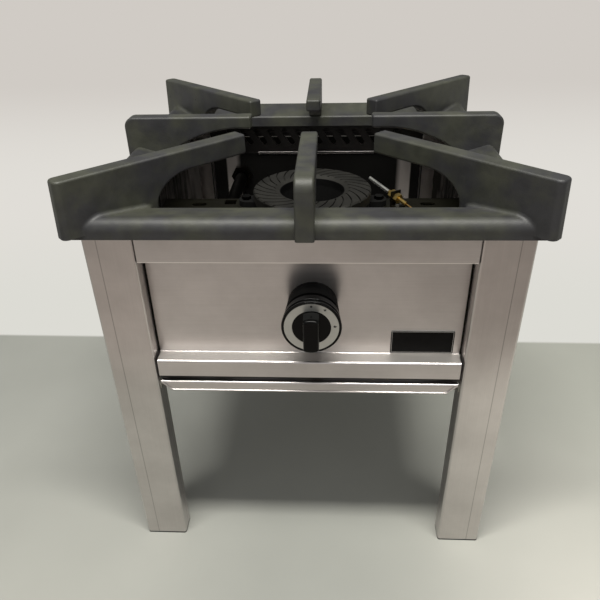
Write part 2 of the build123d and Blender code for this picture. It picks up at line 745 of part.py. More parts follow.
def tap_screws():
    tip = tap_front_y + bonnet_thickness + tap_flange_thickness
    return [screw(axis, -panel_y, tip) for axis in tap_screw_axes()]


def d_section(radius):
    """Round section with a flat along its top, for the spindle's end and the knob's bore."""
    flat = Pos(0, -radius) * Rectangle(3 * radius, 2 * radius - 2 * spindle_flat)
    return Circle(radius) - flat


def tap_spindle():
    """Spindle with a collar behind the bonnet and a flat where the knob sits."""
    collar = tap_front_y + bonnet_thickness + push_gap
    front = knob_front_y + knob_plate + push_gap
    back_of_flat = knob_front_y + knob_depth + 2 * knob_hub_reach
    spindle = cylinder(tap_axis, spindle_radius, back_of_flat, spindle_end_y)
    spindle = spindle + cylinder(tap_axis, collar_radius, collar, collar + collar_thickness)
    end = tap_axis * Pos(0, 0, front) * extrude(d_section(spindle_radius), back_of_flat - front)
    return spindle + end


def tap_push_rod():
    """Rod behind the spindle that opens the safety valve when the knob is pressed."""
    return cylinder(tap_axis, push_rod_radius, spindle_end_y + push_gap, push_rod_end_y)


def tap_return_spring():
    """Coil spring between the chamber's floor and the spindle's collar."""
    start = tap_front_y + bonnet_thickness + push_gap + collar_thickness + spring_wire / 2
    height = spring_chamber_end_y - spring_wire / 2 - start
    radius = (spindle_radius + spring_chamber_radius) / 2
    path = Helix(pitch=height / spring_coils, height=height, radius=radius)
    wire = sweep((path ^ 0) * Circle(spring_wire / 2), path=path)
    return tap_axis * Pos(0, 0, start) * wire


def tap_magnet_unit():
    """Flame-failure valve screwed into the tap's tail, with a hexagon at its root."""
    start = tap_front_y + tap_length + tap_tail_length
    unit = cylinder(tap_axis, magnet_radius, start, start + magnet_length)
    unit = unit + hex_nut(tap_axis, 2 * magnet_radius, start, start + magnet_length / 4)
    return unit - cylinder(tap_axis, push_rod_radius + running_gap, start - 1,
                           push_rod_end_y + push_travel + push_gap)


def knob_bezel():
    """Fixed plastic collar between the panel and the knob."""
    front = -panel_y - bezel_depth
    return turned([
        (bezel_base_radius - bezel_wall, -panel_y), (bezel_base_radius, -panel_y),
        (bezel_front_radius, front), (bezel_hole_radius, front),
        (bezel_hole_radius, front + bezel_wall), (bezel_front_radius - bezel_wall, front + bezel_wall),
    ], tap_axis)


def knob():
    """Round knob: hollow skirt, hub with a flatted bore, recess for the dial ring, and the grip."""
    front = knob_front_y
    back = front + knob_depth
    plate = front + knob_plate
    hub = back + knob_hub_reach
    shape = turned([
        (0, front), (knob_radius - knob_edge, front), (knob_radius, front + knob_edge),
        (knob_radius, back), (knob_radius - knob_wall, back), (knob_radius - knob_wall, plate),
        (knob_hub_radius, plate), (knob_hub_radius, hub), (0, hub),
    ], tap_axis)
    bore = extrude(d_section(spindle_radius + running_gap), hub - plate + 1)
    shape = shape - tap_axis * Pos(0, 0, plate) * bore
    recess = Circle(ring_outer) - Circle(ring_inner)
    shape = shape - tap_axis * Pos(0, 0, front - 1) * extrude(recess, 1 + ring_thickness - ring_proud)
    outline = Rectangle(grip_width, grip_length + 2) & Circle(grip_length / 2)
    grip = Plane(origin=(tap_x, 0, tap_z), x_dir=(1, 0, 0), z_dir=(0, -1, 0))
    grip = grip * Pos(0, 0, -front) * extrude(outline, grip_height)
    grip = fillet(grip.faces().sort_by(Axis.Y)[0].edges(), grip_edge)
    return shape + grip


def dial_ring():
    """Bright ring set into the knob's face; the dial marks are printed on it."""
    front = knob_front_y - ring_proud
    ring = Circle(ring_outer - ring_fit) - Circle(ring_inner + ring_fit)
    return tap_axis * Pos(0, 0, front) * extrude(ring, ring_thickness)


def supply_pipe():
    path = FilletPolyline(
        (pipe_x, panel_inner_y - inlet_stub, tap_z),
        (pipe_x, tap_port_y, tap_z),
        (tap_x - tap_inlet_reach, tap_port_y, tap_z),
        radius=pipe_bend)
    return tube_along(path, pipe_radius, pipe_bore)


def pipe_union():
    """Union nut over the joint between the supply pipe and the tap's inlet."""
    joint = tap_x - tap_inlet_reach
    return hex_nut(along_x(tap_port_y, tap_z), union_flats, joint - union_length / 2,
                   joint + union_length / 2, pipe_radius + thread_gap)


def gas_inlet():
    """Bulkhead fitting in the rear panel, with the male connection behind it."""
    axis = along_y(pipe_x, tap_z)
    start = panel_inner_y - inlet_stub
    fitting = cylinder(axis, inlet_radius, start, inlet_end_y)
    fitting = fitting + hex_nut(axis, inlet_flats, panel_y, panel_y + inlet_flange)
    return fitting - cylinder(axis, pipe_bore, start - 1, inlet_end_y + 1)


def inlet_locknut():
    return hex_nut(along_y(pipe_x, tap_z), inlet_flats, panel_inner_y - locknut_thickness,
                   panel_inner_y, inlet_radius + thread_gap)


def outlet_tube():
    """Tube from the tap's outlet down and back to the injector holder."""
    path = FilletPolyline(
        (tap_x, tap_port_y, tap_z - tap_boss_drop + tube_seat),
        (tap_x, tap_port_y, mixer_z),
        (tap_x, injector_y + tube_seat, mixer_z),
        radius=outlet_bend)
    return tube_along(path, outlet_tube_radius, outlet_tube_bore)


def tube_nuts():
    """The two hexagon nuts on the outlet tube."""
    hole = outlet_tube_radius + thread_gap
    boss = tap_z - tap_boss_drop
    upper = hex_nut(Plane(origin=(tap_x, tap_port_y, 0)), tube_nut_flats, boss - tube_nut_length, boss, hole)
    lower = hex_nut(mixer_axis, tube_nut_flats, injector_y - tube_nut_length, injector_y, hole)
    return [upper, lower]


def injector_holder():
    """Brass holder with the injector nozzle that points into the mixing tube."""
    end = injector_y + injector_length
    tip = end + nozzle_length
    holder = turned([
        (0, injector_y), (injector_radius, injector_y), (injector_radius, end), (nozzle_radius, end),
        (nozzle_radius, end + nozzle_length / 2), (nozzle_tip_radius, tip), (0, tip),
    ], mixer_axis)
    holder = holder - cylinder(mixer_axis, outlet_tube_radius + thread_gap,
                               injector_y - 1, injector_y + tube_seat)
    return holder - cylinder(mixer_axis, jet_radius, injector_y, tip + 1)


def injector_cage():
    """Bent strip that holds the injector in front of the mixing tube and leaves the air a way in."""
    start = injector_y + injector_length
    inner = mixer_mouth_radius + thread_gap
    outer = inner + cage_sheet
    half = cage_width / 2
    end = mixer_mouth_y + cage_lap
    cage = block(tap_x - outer, tap_x + outer, start, end, mixer_z - half, mixer_z + half)
    cage = cage - block(tap_x - inner, tap_x + inner, start + cage_sheet, end + 1,
                        mixer_z - half - 1, mixer_z + half + 1)
    return cage - cylinder(mixer_axis, nozzle_radius + thread_gap, start - 1, start + 2 * cage_sheet)


# ---- thermocouple ------------------------------------------------------------------
azimuth = math.radians(probe_azimuth)
rise = math.radians(probe_rise)
probe_axis = Plane(
    origin=(probe_x, probe_y, probe_z),
    x_dir=(-math.sin(azimuth), math.cos(azimuth), 0),
    z_dir=(math.cos(azimuth) * math.cos(rise), math.sin(azimuth) * math.cos(rise), math.sin(rise)))
tab_frame = Plane(
    origin=(probe_x, probe_y, bracket_top_z),
    x_dir=(-math.sin(azimuth), math.cos(azimuth), 0),
    z_dir=(0, 0, 1))


def tab_screw_axis():
    """Plane along Z, from the bracket's top, through the screw in the thermocouple tab's foot."""
    return tab_frame * Pos(0, (tab_foot + tab_sheet) / 2, 0)


def on_probe(distance):
    """A point on the probe's axis."""
    return probe_axis.from_local_coords(Vector(0, 0, distance))


def thermocouple_bracket():
    """Small angle on the right burner bracket; the probe passes through its upright tab."""
    half = tab_width / 2
    tab = block(-half, half, -tab_sheet / 2, tab_sheet / 2, 0, tab_height)
    foot = block(-half, half, -tab_sheet / 2, tab_foot + tab_sheet / 2, 0, tab_sheet)
    angle = tab_frame * (tab + foot)
    angle = angle - cylinder(probe_axis, sleeve_radius + seam, -3 * tab_sheet, 3 * tab_sheet)
    return angle - cylinder(Plane(tab_screw_axis()), screw_radius + thread_gap, -1, 2 * tab_sheet)


def tab_screw():
    axis = Plane(tab_screw_axis())
    head = cylinder(axis, screw_head_radius, tab_sheet, tab_sheet + screw_head_height)
    return head + cylinder(axis, screw_radius, -2 * bracket_sheet, tab_sheet)


def thermocouple_probe():
    """Round-nosed steel probe whose tip stands in the flame beside the cap."""
    rod = cylinder(probe_axis, probe_radius, probe_start, probe_tip - probe_radius)
    nose = probe_axis * Pos(0, 0, probe_tip - probe_radius) * Sphere(probe_radius)
    return rod + nose


def thermocouple_sleeve():
    """Threaded brass sleeve behind the probe, with a thinner tail for the lead."""
    thread = probe_nut_gap + probe_nut_thickness + seam
    return turned([
        (0, -sleeve_tail), (sleeve_tail_radius, -sleeve_tail), (sleeve_tail_radius, -thread),
        (sleeve_radius, -thread), (sleeve_radius, thread), (sleeve_tail_radius, probe_start),
        (0, probe_start),
    ], probe_axis)


def thermocouple_nuts():
    """Two hexagon nuts that clamp the sleeve to its tab."""
    near = probe_nut_gap
    far = near + probe_nut_thickness
    hole = sleeve_radius + thread_gap
    return [hex_nut(probe_axis, probe_nut_flats, near, far, hole),
            hex_nut(probe_axis, probe_nut_flats, -far, -near, hole)]


def lead_nut():
    start = tap_front_y + tap_length + tap_tail_length + magnet_length
    return hex_nut(tap_axis, lead_nut_flats, start, start + lead_nut_length)


def thermocouple_lead():
    """Copper capillary from the sleeve's tail, round the burner, to the back of the tap."""
    end_y = tap_front_y + tap_length + tap_tail_length + magnet_length + lead_nut_length
    points = [
        on_probe(-sleeve_tail),
        on_probe(-sleeve_tail - lead_first_run),
        Vector(probe_x + lead_bulge, probe_y - lead_dip_y, bracket_top_z - lead_dip),
        Vector(probe_x + lead_return, probe_y - lead_low_y, tap_z + lead_radius),
        Vector(tap_x + lead_loop, end_y + lead_loop_y, tap_z),
        Vector(tap_x, end_y + lead_loop_y, tap_z),
        Vector(tap_x, end_y, tap_z),
    ]
    radii = []
    for a, b, c in zip(points, points[1:], points[2:]):
        turn = math.radians((b - a).get_angle(c - b))
        radii.append(0.45 * min((b - a).length, (c - b).length) / math.tan(turn / 2))
    print("thermocouple lead: bend radii", [round(r, 1) for r in radii])
    return tube_along(FilletPolyline(*points, radius=radii), lead_radius)


# ---- pot grate --------------------------------------------------------------------
def grate_side_bar(half, half_across, side_height):
    """The +X side of the frame: rolled outer edge, top that slopes down to the opening.

    half is the cabinet's half size along X, half_across its half size along the bar.
    """
    base = cabinet_height
    grate_outer = half + grate_overhang
    grate_inner = grate_outer - grate_bar_width
    crest = base + side_height + grate_roll
    centre = grate_outer - grate_roll
    diagonal = grate_roll * math.sqrt(0.5)
    profile = make_face([
        Line((grate_inner, base), (grate_outer, base)),
        Line((grate_outer, base), (grate_outer, base + side_height)),
        ThreePointArc((grate_outer, base + side_height),
                      (centre + diagonal, base + side_height + diagonal), (centre, crest)),
        Line((centre, crest), (grate_inner, base + grate_inner_height)),
        Line((grate_inner, base + grate_inner_height), (grate_inner, base)),
    ])
    profile = fillet(nearest(profile, grate_inner, base + grate_inner_height), grate_inner_edge)
    bar = extrude(upright(0) * profile, half_across + grate_overhang, both=True)
    shift = half_across - half
    near = grate_inner - 1
    far = grate_outer + 1
    mitre = Polygon((near, near + shift), (near, -near - shift),
                    (far, -far - shift), (far, far + shift), align=None)
    return bar & extrude(mitre, 2 * pot_height)


def flank_edges(plate):
    """Edges of both flanks of a plate that stands along X, above the frame's foot."""
    return [edge for edge in plate.edges()
            if abs(abs(edge.center().Y) - finger_thickness / 2) < 0.01
            and edge.center().Z > cabinet_height + seam]


def root_edges(grate, angle, start, end):
    """Edges where the finger at this angle grows out of the frame, between two distances."""
    found = []
    for edge in grate.edges():
        spot = upright(angle).to_local_coords(edge.center())
        on_flank = abs(abs(spot.Z) - finger_thickness / 2) < 0.01
        on_frame = cabinet_height + seam < spot.Y < cabinet_height + grate_side + grate_roll
        if on_flank and on_frame and start < spot.X < end:
            found.append(edge)
    return found


def side_finger_outline(half):
    """Outline of a finger over the side that lies this far from the middle."""
    top = pot_height
    base = cabinet_height
    side_finger_end = half + grate_overhang + side_finger_overhang
    root = half + grate_overhang - grate_bar_width + 2 * grate_inner_edge
    tip_z = top - side_finger_depth
    sag = (side_finger_tip + 0.58 * (root - side_finger_tip), tip_z - side_finger_sag)
    root_z = base + grate_inner_height - grate_inner_edge
    outline = make_face([
        Line((side_finger_tip, top), (side_finger_end, top)),
        Line((side_finger_end, top), (side_finger_end, base)),
        Line((side_finger_end, base), (root, base)),
        Line((root, base), (root, root_z)),
        ThreePointArc((root, root_z), sag, (side_finger_tip, tip_z)),
        Line((side_finger_tip, tip_z), (side_finger_tip, top)),
    ])
    outline = fillet(nearest(outline, side_finger_end, top), side_finger_corner)
    outline = fillet(nearest(outline, side_finger_tip, top), finger_edge)
    return fillet(nearest(outline, side_finger_tip, tip_z), finger_edge)


def corner_finger_outline():
    """Outline of a finger over a corner: arm, arch, web and the end outside the frame."""
    top = pot_height
    base = cabinet_height
    foot = half_diagonal - corner_foot_inset
    foot_z = base + corner_foot_lift
    corner_finger_end = half_diagonal + corner_finger_reach
    end_top = corner_finger_end - corner_finger_lean
    tip_z = top - corner_finger_depth
    corner_web_start = half_diagonal - corner_web_inset
    corner_arch_z = base + corner_arch_rise
    arch_x = corner_web_start - corner_arch
    outline = make_face([
        Line((corner_finger_tip, top), (end_top, top)),
        Line((end_top, top), (corner_finger_end, foot_z)),
        Line((corner_finger_end, foot_z), (foot, foot_z)),
        Line((foot, foot_z), (foot, base)),
        Line((foot, base), (corner_web_start, base)),
        Line((corner_web_start, base), (corner_web_start, corner_arch_z)),
        EllipticalCenterArc((arch_x, corner_arch_z), corner_arch, tip_z - corner_arch_z, arc_size=90),
        Line((arch_x, tip_z), (corner_finger_tip, tip_z)),
        Line((corner_finger_tip, tip_z), (corner_finger_tip, top)),
    ])
    outline = fillet(nearest(outline, corner_finger_tip, top), finger_edge)
    return fillet(nearest(outline, corner_finger_tip, tip_z), finger_edge)


def side_finger(half):
    """Finger over the side of the cabinet that lies this far from the middle."""
    plate = extrude(upright(0) * side_finger_outline(half), finger_thickness / 2, both=True)
    return fillet(flank_edges(plate), finger_edge)


def corner_finger():
    """Finger over a corner; the upright edges of its outer end are rounded most."""
    plate = extrude(upright(0) * corner_finger_outline(), finger_thickness / 2, both=True)
    end_face = plate.faces().sort_by(Axis.X)[-1]
    plate = fillet([edge for edge in end_face.edges() if abs(edge.center().Y) > 1], corner_end_edge)
    end = half_diagonal + corner_finger_reach - corner_finger_lean - 2 * corner_end_edge
    along = [edge for edge in flank_edges(plate)
             if edge.center().X < end and edge.center().Z > cabinet_height + corner_foot_lift + seam]
    end_top = [edge for edge in plate.edges() if edge.center().X > end and edge.center().Z > pot_height - 0.01]
    return fillet(along + end_top, finger_edge)


def pot_grate():
    """One casting: square frame, four fingers over its sides and four over its corners."""
    pieces = []
    for half, half_across, angle in ((half_width, half_depth, 0), (half_depth, half_width, 90),
                                     (half_width, half_depth, 180), (half_depth, half_width, 270)):
        side_height = grate_front_side if angle == 270 else grate_side
        pieces.append(turn_about_z(grate_side_bar(half, half_across, side_height), angle))
        pieces.append(turn_about_z(side_finger(half), angle))
    corner = corner_finger()
    corner_angles = [diagonal_angle, 180 - diagonal_angle, 180 + diagonal_angle, -diagonal_angle]
    pieces += [turn_about_z(corner, angle) for angle in corner_angles]
    grate = pieces[0]
    for piece in pieces[1:]:
        grate = grate + piece
    inner = grate_overhang - grate_bar_width
    corner_start = math.hypot(half_width + inner, half_depth + inner) - finger_thickness
    roots = [edge for angle in corner_angles
             for edge in root_edges(grate, angle, corner_start, half_diagonal + grate_overhang / 2)]
    return fillet(roots, corner_root_radius)


# ---- write one file per piece --------------------------------------------------------
def save(name, shape):
    if isinstance(shape, list):
        shape = Compound(children=shape)
    export_step(shape, f"parts/{name}.step")


os.makedirs("parts", exist_ok=True)
save("front_left_leg", corner_leg(-1, -1))
save("front_right_leg", corner_leg(1, -1))
save("rear_left_leg", corner_leg(-1, 1))
save("rear_right_leg", corner_leg(1, 1))
save("foot_glides", foot_glides())
save("front_rail", front_rail())
save("control_panel", control_panel())
save("left_side_panel", side_panel(-1))
save("right_side_panel", side_panel(1))
save("rear_panel", rear_panel())
save("left_tray_runner", tray_runner(-1))
save("right_tray_runner", tray_runner(1))
save("runner_screws", runner_screws())
save("drip_tray", drip_tray())
save("left_burner_bracket", burner_bracket(-1))
save("right_burner_bracket", burner_bracket(1))
save("bracket_screws", bracket_screws())
save("burner_body", burner_body())
save("burner_bolts", burner_bolts())
save("burner_cap", burner_cap())
save("tap_body", tap_body())
save("tap_bonnet", tap_bonnet())
save("tap_screws", tap_screws())
save("tap_spindle", tap_spindle())
save("tap_push_rod", tap_push_rod())
save("tap_return_spring", tap_return_spring())
save("tap_magnet_unit", tap_magnet_unit())
save("knob_bezel", knob_bezel())
save("knob", knob())
save("dial_ring", dial_ring())
save("supply_pipe", supply_pipe())
save("pipe_union", pipe_union())
save("gas_inlet", gas_inlet())
save("inlet_locknut", inlet_locknut())
save("outlet_tube", outlet_tube())
save("tube_nuts", tube_nuts())
save("injector_holder", injector_holder())
save("injector_cage", injector_cage())
save("thermocouple_bracket", thermocouple_bracket())
save("tab_screw", tab_screw())
save("thermocouple_probe", thermocouple_probe())
save("thermocouple_sleeve", thermocouple_sleeve())
save("thermocouple_nuts", thermocouple_nuts())
save("thermocouple_lead", thermocouple_lead())
save("lead_nut", lead_nut())
save("pot_grate", pot_grate())
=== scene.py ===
# Stock pot range: one ring burner under a cast grate, on four folded sheet legs.
# Metres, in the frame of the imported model: +X right, +Y to the back, floor at z = 0.
import math

import bmesh
import bpy
from mathutils import Matrix, Vector


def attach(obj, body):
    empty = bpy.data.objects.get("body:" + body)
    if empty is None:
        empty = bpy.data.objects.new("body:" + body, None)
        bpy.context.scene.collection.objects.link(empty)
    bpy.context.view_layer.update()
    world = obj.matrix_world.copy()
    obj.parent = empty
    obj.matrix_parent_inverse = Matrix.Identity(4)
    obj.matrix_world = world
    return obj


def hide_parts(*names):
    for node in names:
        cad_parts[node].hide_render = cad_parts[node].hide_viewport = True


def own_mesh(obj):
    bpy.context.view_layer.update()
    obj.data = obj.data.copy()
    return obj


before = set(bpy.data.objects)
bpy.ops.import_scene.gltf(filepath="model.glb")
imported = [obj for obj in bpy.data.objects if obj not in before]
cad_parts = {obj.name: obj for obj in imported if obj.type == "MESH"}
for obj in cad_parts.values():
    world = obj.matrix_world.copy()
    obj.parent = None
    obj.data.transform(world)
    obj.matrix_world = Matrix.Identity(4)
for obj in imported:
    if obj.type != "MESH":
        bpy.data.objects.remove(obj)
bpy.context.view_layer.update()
scene = bpy.context.scene
scene.view_settings.view_transform = "Standard"


# ---- Camera: a phone held above and in front of the range -----------------------
# It is held 0.6 m above the floor, half a metre before the panel, and looks down past
# the knob, so the upright edges draw together towards the floor.
camera_place = Vector((0.02253, -0.66581, 0.62056))
camera_pitch = math.radians(31.298)
camera_yaw = math.radians(-3.467)
camera_roll = math.radians(-1.442)
focal_share = 591.02 / 600      # focal length over the picture's width

camera_data = bpy.data.cameras.new("camera")
camera_data.sensor_width = 36.0
camera_data.lens = focal_share * camera_data.sensor_width
camera = bpy.data.objects.new("camera", camera_data)
scene.collection.objects.link(camera)
scene.camera = camera
turn = Matrix.Rotation(-camera_yaw, 4, "Z")
tilt = Matrix.Rotation(math.pi / 2 - camera_pitch, 4, "X")
roll = Matrix.Rotation(camera_roll, 4, "Z")
camera.matrix_world = Matrix.Translation(camera_place) @ turn @ tilt @ roll


# ---- Room: painted concrete floor up to a paler wall ----------------------------
# Matt grey paint with painted light: lighter towards the camera and to the right, and
# greyer in a painted shadow in front of the range's middle.  The wall is drawn as a
# paler part of the same flat sheet, so that it hides nothing from behind.
wall_y = 0.2161                 # the wall's foot, behind the range
wall_skew = 0.0075              # it runs slightly askew
wall_blur = 0.003
floor_reach = 12.0
floor_drop = 0.0002             # keeps the floor's sheet clear of the glides' soles
scuff_size = 160.0              # mm

# sockets of a node that mixes colours: by how much, the two colours, and the result
mix_by, mix_from, mix_to, mixed = 0, 6, 7, 2


def linear(hexcode):
    """An sRGB hex colour as the linear values that shaders take."""
    parts = [int(hexcode[i:i + 2], 16) / 255 for i in (1, 3, 5)]
    return [p / 12.92 if p <= 0.04045 else ((p + 0.055) / 1.055) ** 2.4 for p in parts] + [1.0]


def add(tree, kind, settings=None, inputs=None):
    """Adds a node: settings are its properties, inputs its sockets' values or what is linked to them."""
    made = tree.nodes.new(kind)
    for name, value in (settings or {}).items():
        setattr(made, name, value)
    for name, value in (inputs or {}).items():
        if isinstance(value, bpy.types.NodeSocket):
            tree.links.new(value, made.inputs[name])
        else:
            made.inputs[name].default_value = value
    return made


def new_material(name):
    """A material, its empty node tree, and the socket that says where on the piece a point is."""
    material = bpy.data.materials.new(name)
    material.use_nodes = True
    tree = material.node_tree
    tree.nodes.clear()
    return material, tree, add(tree, "ShaderNodeTexCoord").outputs["Object"]


def surfaced(material, shader):
    """The material, with the shader as its surface."""
    add(material.node_tree, "ShaderNodeOutputMaterial", inputs={"Surface": shader.outputs[0]})
    return material


def mesh_object(name, bm, material, smooth=True):
    """Turns a bmesh into an object with one material."""
    data = bpy.data.meshes.new(name)
    bm.to_mesh(data)
    bm.free()
    data.materials.append(material)
    for face in data.polygons:
        face.use_smooth = smooth
    made = bpy.data.objects.new(name, data)
    scene.collection.objects.link(made)
    return made


def painted_floor():
    """Matt floor paint; the wall part also glows for the camera, as a pale backdrop does."""
    material, tree, place = new_material("floor_paint")
    axes = add(tree, "ShaderNodeSeparateXYZ", inputs={0: place}).outputs
    off_centre = add(tree, "ShaderNodeMath", {"operation": "ABSOLUTE"}, {0: axes["X"]})
    zones = {}
    for zone, along, start, end in (
            ("nearer", axes["Y"], 0.10, -0.44),
            ("rightwards", axes["X"], -0.35, 0.40),
            ("beside_painted_shadow", off_centre.outputs[0], 0.02, 0.34),
            ("under_camera", axes["Y"], -0.46, -0.60),
            ("right_of_camera", axes["X"], -0.25, 0.40),
            ("wall_middle", axes["Y"], 0.3, 0.8),
            ("wall_top", axes["Y"], 0.9, 2.6)):
        ramp = add(tree, "ShaderNodeMapRange", {"interpolation_type": "SMOOTHSTEP"},
                   {"Value": along, "From Min": start, "From Max": end})
        zones[zone] = ramp.outputs[0]
    # each row blends two colours, or two rows before it, across a zone
    paints = {}
    for name, zone, *pair in (
            ("far_floor", "rightwards", "#949590", "#9e9f98"),
            ("unshadowed_near_floor", "rightwards", "#a4a49e", "#c6c4bd"),
            ("near_floor", "beside_painted_shadow", "#949590", "unshadowed_near_floor"),      # painted shadow of the range, greyer in front of its middle
            ("cool_floor", "nearer", "far_floor", "near_floor"),
            ("warm_floor", "right_of_camera", "#a19a95", "#8e8782"),
            ("floor", "under_camera", "cool_floor", "warm_floor"),
            ("low_wall", "wall_middle", "#dcdbd4", "#e0ddd7"),
            ("wall", "wall_top", "low_wall", "#d0cbc5")):
        first, second = [paints[paint] if paint in paints else linear(paint) for paint in pair]
        blend = add(tree, "ShaderNodeMix", {"data_type": "RGBA"},
                    {mix_by: zones[zone], mix_from: first, mix_to: second})
        paints[name] = blend.outputs[mixed]
    scuff = add(tree, "ShaderNodeTexNoise", inputs={
        "Vector": place, "Scale": 1000 / scuff_size, "Detail": 5.0})
    scuffed = add(tree, "ShaderNodeMix", {"data_type": "RGBA", "blend_type": "SOFT_LIGHT"},
                  {mix_by: 0.12, mix_from: paints["floor"], mix_to: scuff.outputs[0]})
    floor_paint = add(tree, "ShaderNodeBsdfPrincipled", inputs={
        "Base Color": scuffed.outputs[mixed], "Roughness": 0.9, "Specular IOR Level": 0.1})
    glow = add(tree, "ShaderNodeEmission", inputs={"Color": paints["wall"], "Strength": 1.0})
    wall_paint = add(tree, "ShaderNodeBsdfPrincipled", inputs={
        "Base Color": paints["wall"], "Roughness": 0.9, "Specular IOR Level": 0.1})
    ray = add(tree, "ShaderNodeLightPath").outputs
    seen = add(tree, "ShaderNodeMath", {"operation": "MAXIMUM"},
               {0: ray["Is Camera Ray"], 1: ray["Is Glossy Ray"]})
    wall = add(tree, "ShaderNodeMixShader", inputs={
        0: seen.outputs[0], 1: wall_paint.outputs[0], 2: glow.outputs[0]})
    skewed = add(tree, "ShaderNodeMath", {"operation": "MULTIPLY_ADD"},
                 {0: axes["X"], 1: wall_skew, 2: axes["Y"]})
    past_foot = add(tree, "ShaderNodeMapRange", inputs={
        "Value": skewed.outputs[0], "From Min": wall_y - wall_blur, "From Max": wall_y + wall_blur})
    return surfaced(material, add(tree, "ShaderNodeMixShader", inputs={
        0: past_foot.outputs[0], 1: floor_paint.outputs[0], 2: wall.outputs[0]}))


bm = bmesh.new()
bmesh.ops.create_grid(bm, x_segments=1, y_segments=1, size=floor_reach)
floor = mesh_object("floor", bm, painted_floor(), smooth=False)
floor.location.z = -floor_drop


# ---- Light: a long ceiling lamp a little in front, and pale walls all round -----
# The lamp runs along X, so shadows are sharp from front to back and soft sideways.
# The wall in front of the range is the brightest; above head height it falls off.
lamp_height = 2.2
lamp_forward = 0.57
lamp_length = 1.5
lamp_width = 0.22
lamp_watts = 62.0
lamp_aim = Vector((0, 0, 0.3))
front_wall_rise = math.radians(28)      # the brightest way, above the horizon
dim_wall, bright_wall = 0.30, 0.80

lamp_data = bpy.data.lights.new("ceiling_lamp", "AREA")
lamp_data.shape = "RECTANGLE"
lamp_data.size = lamp_length
lamp_data.size_y = lamp_width
lamp_data.energy = lamp_watts
lamp_data.color = linear("#fffdf6")[:3]
lamp = bpy.data.objects.new("ceiling_lamp", lamp_data)
scene.collection.objects.link(lamp)
lamp.location = (0.0, -lamp_forward, lamp_height)
lamp.rotation_euler = (lamp_aim - lamp.location).to_track_quat("-Z", "Y").to_euler()

room = bpy.data.worlds.new("room")
room.use_nodes = True
room_tree = room.node_tree
room_tree.nodes.clear()
ray_way = add(room_tree, "ShaderNodeTexCoord").outputs["Generated"]
brightest_way = Vector((0.0, -math.cos(front_wall_rise), math.sin(front_wall_rise)))
facing = add(room_tree, "ShaderNodeVectorMath", {"operation": "DOT_PRODUCT"},
             {0: ray_way, 1: brightest_way})
level = add(room_tree, "ShaderNodeMapRange", {"interpolation_type": "SMOOTHSTEP"}, {
    "Value": facing.outputs["Value"], "From Min": 0.35, "From Max": 0.98,
    "To Min": dim_wall, "To Max": bright_wall})
pale_walls = add(room_tree, "ShaderNodeBackground", inputs={
    "Color": linear("#e8e8e6"), "Strength": level.outputs[0]})
add(room_tree, "ShaderNodeOutputWorld", inputs={"Surface": pale_walls.outputs[0]})
scene.world = room


# ---- Legs: satin stainless sheet, folded ----------------------------------------
# 1.5 mm chrome-nickel steel with the mill's satin grain.  Each leg is folded from
# one strip, so the grain runs up it; hands and packing leave faint cloudy marks,
# and one fine darker upright line runs down both outer faces.
grain_width = 0.9               # mm; the real 0.1 mm grain drawn coarser so that it shows
grain_length = 60.0             # mm
hand_mark_size = 70.0           # mm
dark_line_out = 0.1865          # from the range's middle, on both outer faces of a leg
dark_line_core = 0.0002         # half the line's width; it fades out at its edge
dark_line_edge = 0.0006


def within(tree, *ramps, most=1.0):
    """How much a point lies in a region: each ramp is a value, where it is out and where it is in.

    Those two are mostly a short fade apart.  Most, a number or a socket, is what it comes to well inside.
    """
    share = most
    for value, out_at, in_at in ramps:
        ramp = add(tree, "ShaderNodeMapRange", inputs={
            "Value": value, "From Min": out_at, "From Max": in_at})
        product = add(tree, "ShaderNodeMath", {"operation": "MULTIPLY"}, {0: ramp.outputs[0], 1: share})
        share = product.outputs[0]
    return share


